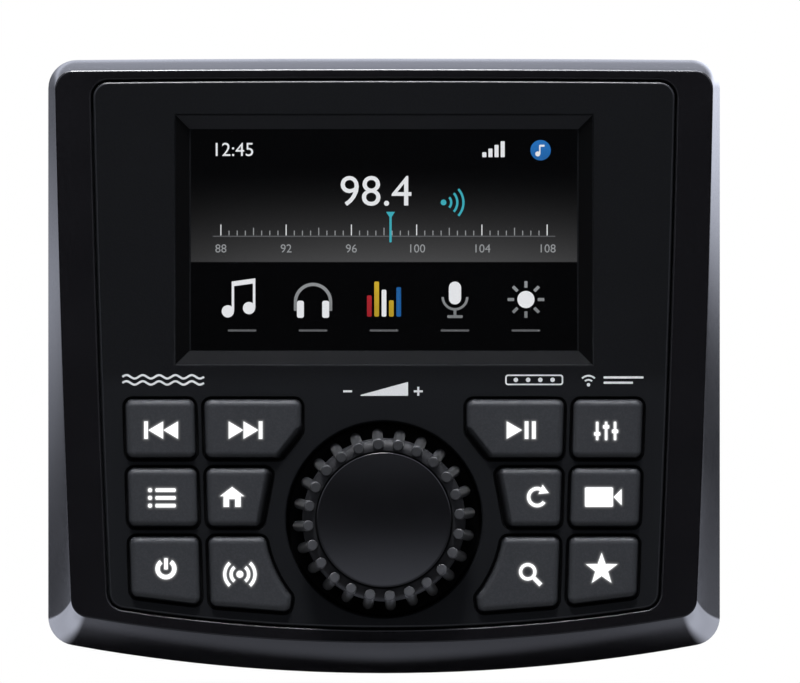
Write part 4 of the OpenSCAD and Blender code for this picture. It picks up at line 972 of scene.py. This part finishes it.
screen = dict(
    glassFront=-12.60, glassBack=-11.3, size=(102.9, 62.0), artFront=0.04, artBack=0.005,
    dark=(0.0008, 0.0008, 0.0009), bandGrey=(0.067, 0.067, 0.06834),
    band=(25.5, 50.5), bandFall=2.4, bandEdge=0.15, bandMiddle=6.4, bandHalf=54.0, bandSides=0.5,
    dotScale=2600, dotGlow=(0.97, 0.06),
    # colour, then how far it darkens and between which heights
    tones=dict(white=[(0.82, 0.83, 0.85)], grey=[(0.30, 0.31, 0.32), 0.5, 8, 24], teal=[(0.05, 0.42, 0.50)],
               blue=[(0.02, 0.17, 0.52), 0.4, 48, 57], red=[(0.50, 0.02, 0.03), 0.4, 10, 24],
               yellow=[(0.68, 0.45, 0.03), 0.4, 10, 24], dim=[(0.11, 0.112, 0.118)]),
    # the scale's left end, length, first number and span, and the number shown
    scale=(-40, 80, 88, 20), station=98.4, ticks=40, numbers=5,
    columns=(-34.8, -17.4, 0, 17.4, 34.8), row=-14.6,
    levels=(("red", 5.2), ("yellow", 8.6), ("white", 6.6), ("yellow", 4.0), ("blue", 7.2)),
)


def displayFinish(v):
    n = newFinish("displayFace")
    x, z = n.along("X"), n.along("Z")
    low, high = v["band"]
    down = n.add("MapRange", sockets={"Value": z, "From Min": high * mm, "From Max": low * mm})
    fall = down ** v["bandFall"]
    edge = n.smooth(z, (low - v["bandEdge"]) * mm, (low + v["bandEdge"]) * mm)
    aside = (x - v["bandMiddle"] * mm) / (v["bandHalf"] * mm)
    level, sparkle = v["dotGlow"]
    dots = level + n.noise(v["dotScale"], 1) * sparkle
    glow = (fall * edge * (1 - aside * aside * v["bandSides"]) * dots).clamped()
    return n.principled({
        "Base Color": (0.0006, 0.0006, 0.0007), "Roughness": 0.5, "Specular IOR Level": 0.0,
        "Emission Color": n.mixed(glow, v["dark"], v["bandGrey"]), "Emission Strength": 1.0})


def digits(text, x, z, height, sizeForHeight=1.38, curveSteps=4):
    data = bpy.data.curves.new("digits", "FONT")
    data.body, data.size, data.resolution_u = text, height * sizeForHeight, curveSteps
    data.align_x = data.align_y = "CENTER"
    holder = newObject("digits", data)
    bpy.context.view_layer.update()
    mesh = bpy.data.meshes.new_from_object(holder.evaluated_get(bpy.context.evaluated_depsgraph_get()))
    spots = [(p.co.x + x, p.co.y + z) for p in mesh.vertices]
    faces = [[spots[i] for i in face.vertices] for face in mesh.polygons]
    bpy.data.objects.remove(holder)
    bpy.data.meshes.remove(mesh)
    bpy.data.curves.remove(data)
    return faces


def makeScreen(v):
    s, art, z0 = Shape(), Shape(), panel["windowZ"]
    rings = [s.ring(boxLine(0, z0, *v["size"]), y) for y in (v["glassFront"], v["glassBack"])]
    s.tower(rings)
    s.fill(rings[:1])
    s.fill(rings[1:])
    glass = s.build("lcd_glass_dressed", [displayFinish(v)], weighted=False)
    standsFor(glass, "housing", "display_face", "lcd_glass")
    order = list(v["tones"])
    front, back = v["glassFront"] - v["artFront"], v["glassFront"] + v["artBack"]

    # places count from the middle of the display
    def draw(tone, x, z, islands, lift=0.0):
        addMark(art, moved(islands, x, z0 + z), front - lift, back, order.index(tone))

    def write(tone, text, x, z, height):
        for face in digits(text, x, z0 + z, height):
            art.face(art.ring(face, front), order.index(tone))

    # status row: clock, signal and a note in a disc
    write("white", "12:45", -37.0, 22.0, 3.4)
    draw("white", 24.6, 20.9, [bar(1.5 * k, 0.45 * k, 1.0, 1.2 + 0.9 * k, 0.1) for k in range(4)])
    draw("blue", 38.4, 22.0, [disc(0, 0, 2.5)])
    draw("white", 38.4, 22.0, [disc(-0.7, -0.9, 0.62, 20), bar(-0.2, 0.2, 0.32, 2.2, 0.1),
                               bar(0.35, 1.1, 1.2, 0.5, 0.1)], 0.01)
    # tuning band with a plain scale
    left, length, first, span = v["scale"]
    write("white", str(v["station"]), -2.0, 11.6, 7.6)
    draw("teal", 14.6, 9.2, [disc(0, 0, 0.7),
                             *[arcBand(0, 0, r, r + 0.55, -42, 42) for r in (1.6, 3.1, 4.6)]])
    draw("dim", 0, 0.9, [bar(0, 0, 84.0, 0.25, 0.1)])
    for k, x in enumerate(swing(v["ticks"], 0, length)):
        tall = 1.2 if k % 4 else 1.9 if k % 8 else 2.7
        draw("grey" if k % 8 else "white", left + x, 1.1 + tall / 2, [bar(0, 0, 0.24, tall, 0.08)])
    for k, x in enumerate(swing(v["numbers"], 0, length)):
        write("grey", str(first + span * k // v["numbers"]), left + x, -2.2, 2.1)
    needle = left + length * (v["station"] - first) / span
    draw("teal", needle, 2.6, [bar(0, 0, 0.55, 6.4, 0.2), polygon((-1.1, 4.3), (0, 2.6), (1.1, 4.3))], 0.012)
    # row of five plain pictures: notes, headphones, levels, microphone and sun
    base, (c1, c2, c3, c4, c5) = v["row"], v["columns"]
    for x, z in ((-3.5, -2.9), (1.7, -2.1)):
        draw("white", c1 + x, base + z, [disc(0, 0, 1.5), bar(1.25, 3.5, 0.6, 7.0, 0.1)])
    draw("white", c1, base, [polygon((-2.55, 3.2), (3.25, 4.0), (3.25, 5.2), (-2.55, 4.4))])
    draw("grey", c2, base, [arcBand(0, -0.6, 3.9, 4.7, 0, 180, 36)])
    draw("grey", c2, base, [bar(x, -1.6, 0.8, 2.4, 0.2) for x in (-4.3, 4.3)])
    draw("white", c2, base, [bar(x, -2.4, 1.7, 4.2, 0.5) for x in (-3.1, 3.1)], 0.012)
    for k, (tone, tall) in enumerate(v["levels"]):
        draw(tone, c3 - 3.6 + 1.8 * k, base - 4.2 + tall / 2, [bar(0, 0, 1.15, tall, 0.3)])
    draw("white", c4, base, [bar(0, 1.6, 3.0, 5.6, 1.49)])
    draw("grey", c4, base, [arcBand(0, 0.6, 2.7, 3.3, 180, 360), bar(0, -3.2, 0.7, 1.6, 0.1),
                            bar(0, -4.2, 3.8, 0.7, 0.2)])
    draw("white", c5, base, [disc(0, 0, 2.1)])
    draw("grey", c5, base, [stroke([(r * cos(a), r * sin(a)) for r in (2.9, 4.5)], 0.75)
                            for a in swing(8, 1, 2 * pi)])
    draw("dim", 0, base - 7.6, [bar(x, 0, 7.0, 0.5, 0.2) for x in v["columns"]])
    tones = [lit("picture" + name.title(), colour, 1.0, *fade)
             for name, (colour, *fade) in v["tones"].items()]
    standsFor(art.build("display_picture", tones, weighted=False), "housing")


makeScreen(screen)
print("display made")


# printed marks on the panel

printed = dict(
    volume=(-0.3, -5.6), water=(-54.1, -3.4), channels=(36.8, -3.4), wireless=(56.1, -3.4), thick=0.02,
)


def makePrint(v):
    marks = {
        "volume": [[rounded([(-6.2, -1.7, 0.12), (6.2, -1.7, 0.12), (6.2, 1.7, 0.12)], 4)],
                   bar(-8.6, -0.6, 2.2, 0.5, 0.1), bar(8.7, -0.6, 2.2, 0.5, 0.05),
                   *[bar(8.7, z, 0.5, 0.85, 0.05) for z in (0.07, -1.27)]],
        "water": [stroke([(-10 + 0.25 * k, 0.42 * sin(k * pi / 8) + lift) for k in range(81)], 0.5)
                  for lift in (-0.75, 0.75)],
        "channels": [bar(0, 0, 14.2, 2.6, 0.7) + bar(0, 0, 13.5, 1.9, 0.4),
                     *[disc(x, 0, 0.55) for x in (-4.5, -1.5, 1.5, 4.5)]],
        "wireless": [disc(-6.0, -1.2, 0.42), *[arcBand(-6.0, -1.2, r, r + 0.42, 45, 135) for r in (1.0, 2.0)],
                     bar(2.6, 0.6, 9.8, 0.55, 0.2), bar(1.3, -0.7, 7.2, 0.55, 0.2)],
    }
    s, y = Shape(), fascia["faceY"]
    for name, islands in marks.items():
        addMark(s, moved(islands, *v[name]), y - v["thick"], y + v["thick"])
    standsFor(s.build("panel_print", [finishes["printInk"]], weighted=False), "housing")


makePrint(printed)
print("print made")


# rear: threaded studs and screws with driven heads

stud = dict(
    places=(67.5, 50.0), start=-1.0, end=28.0, shoulder=3.0, floor=-4.0,
    head=4.0, headThick=2.4, headEdge=0.4, headSides=32,
    r=2.5, pitch=0.8, sides=24, perTurn=6, thread=0.42, flank=1.3, crest=0.12,
    taper=(0.9, 0.5),  # length of the pointed end and how far it draws in
)


def fourCorners(x, z):
    return [(sx * x, sz * z) for sx in (-1, 1) for sz in (-1, 1)]


def makeStuds(v):
    s, start, end, sides, head, floor = Shape(), v["start"], v["end"], v["sides"], v["head"], v["floor"]
    low, edge, (taper, drop) = floor - v["headThick"], v["headEdge"], v["taper"]
    count = int((end - start) / v["pitch"] * v["perTurn"])
    for x, z in fourCorners(*v["places"]):
        s.turned(x, z, [(0, low), (head - edge, low), (head, low + edge), (head, floor),
                        (v["shoulder"], floor), (v["shoulder"], start), (0, start)], v["headSides"])
        rings = []
        for y in (lerp(start, end, k / count) for k in range(count + 1)):
            thin = drop * (1 - min(1.0, (end - y) / taper))
            ring = []
            for i in range(sides):
                a, wave = 2 * pi * i / sides, abs(((y / v["pitch"] - i / sides) % 1) * 2 - 1)
                r = v["r"] - v["thread"] * min(1, max(0, wave * v["flank"] - v["crest"])) - thin
                ring.append((x + r * cos(a), y, z + r * sin(a)))
            rings.append(s.place(ring))
        s.post(rings)
    piece = s.build("mounting_studs_dressed", [finishes["zinc"]], sharp=25, weighted=False)
    standsFor(piece, "housing", "steel", "mounting_studs")


# pan heads with a cross recess, heads towards +Y
screws = dict(
    thick=2.0, dome=0.32, recess=0.5, arm=(0.17, 0.58), sides=48, rows=12,
    # places, seat, head and shank radius, length
    sets=dict(
        back_screws=(fourCorners(53.3, 47.3), 47.3, 2.8, 1.5, 6.0),
        panel_screws=([(side * (panelHalf(z) + 0.6), z) for side in (-1, 1) for z in (-34.0, 2.0, 36.0)],
                      -3.2, 2.6, 1.25, 8.4)),
)


def makeScrews(v, node, places, seat, head, shank, length):
    s, sides, thick, (armWide, armLong) = Shape(), v["sides"], v["thick"], v["arm"]
    for x, z in places:
        rings = [s.ring(circleLine(x, z, head, sides), seat)]
        for share in (1 - k / v["rows"] for k in range(v["rows"] + 1)):
            dome, ring = seat + thick * (1 - v["dome"] * share ** 4), []
            for u, w, corner in circleLine(0, 0, head * share, sides):
                small, large = sorted((abs(u), abs(w)))
                arm = small < armWide * head and large < armLong * head
                ring.append((x + u, dome - v["recess"] * thick * arm, z + w))
            rings.append(s.place(ring))
        s.tower(rings)
        s.turned(x, z, [(head, seat), (shank, seat), (shank, seat - length), (0, seat - length)], sides)
    piece = s.build(node + "_dressed", [finishes["zinc"]], sharp=30, weighted=False)
    standsFor(piece, "housing", "steel", node)


makeStuds(stud)
for node, values in screws["sets"].items():
    makeScrews(screws, node, *values)
print("studs and screws made")


# finishes of the pieces that keep their own shape

nodeFinish = dict(
    lensAcrylic="display_lens", silicone="keypad_mat", housingPlastic="front_housing",
    platePaint="rear_plate", chassisSheet="rear_chassis", sinkAnodised="heat_sink", brass="board_spacers",
    copper="choke_coil", nickel="antenna_socket", fuseBlue="fuse", chipEpoxy="amplifier_chip capacitors",
    circuitBoard="key_board encoder_board main_board", socketBlack="power_socket fuse_holder knob_hub",
    sealRubber="lens_gasket shaft_seal panel_seal dash_gasket rear_seal",
    nylon="backlight_tray key_leds board_connector display_ribbon av_socket encoder_rotor",
    steel="display_bracket encoder_body chip_clamp tuner_module encoder_shaft",
    zinc="inner_screws encoder_nut chassis_screws heat_sink_screws board_screws",
)
softEdges = dict(
    segments=3, angle=40,
    widths=dict(front_housing=0.3, rear_chassis=0.35, rear_plate=0.35, heat_sink=0.25, power_socket=0.2,
                av_socket=0.2, antenna_socket=0.25, fuse_holder=0.25, fuse=0.35, dash_gasket=0.25),
)
# pins of each socket: middle in X and Z, columns, rows
pins = dict(pitch=4.0, size=0.5, sockets=dict(power_socket=(30.0, 26.0, 8, 2), av_socket=(30.0, -13.0, 6, 2)))


def dressNodes(v):
    for finish, names in nodeFinish.items():
        for name in names.split():
            nodes[name].data.materials.clear()
            nodes[name].data.materials.append(finishes[finish])
    for name, width in v["widths"].items():
        edge = nodes[name].modifiers.new("softEdges", "BEVEL")
        edge.width, edge.segments, edge.limit_method = width * mm, v["segments"], "ANGLE"
        edge.angle_limit, edge.harden_normals = radians(v["angle"]), True


def brightenPins(v):
    for name, (midX, midZ, columns, rows) in v["sockets"].items():
        part = nodes[name]
        part.data.materials.append(finishes["brass"])
        places = [(midX + (i - (columns - 1) / 2) * v["pitch"], midZ + (j - (rows - 1) / 2) * v["pitch"])
                  for i in range(columns) for j in range(rows)]
        for face in part.data.polygons:
            corners = [part.matrix_world @ part.data.vertices[i].co / mm for i in face.vertices]
            if any(all(max(abs(c.x - x), abs(c.z - z)) < v["size"] for c in corners) for x, z in places):
                face.material_index = 1


dressNodes(softEdges)
brightenPins(pins)
print("carried-over pieces finished:", sum(len(names.split()) for names in nodeFinish.values()))
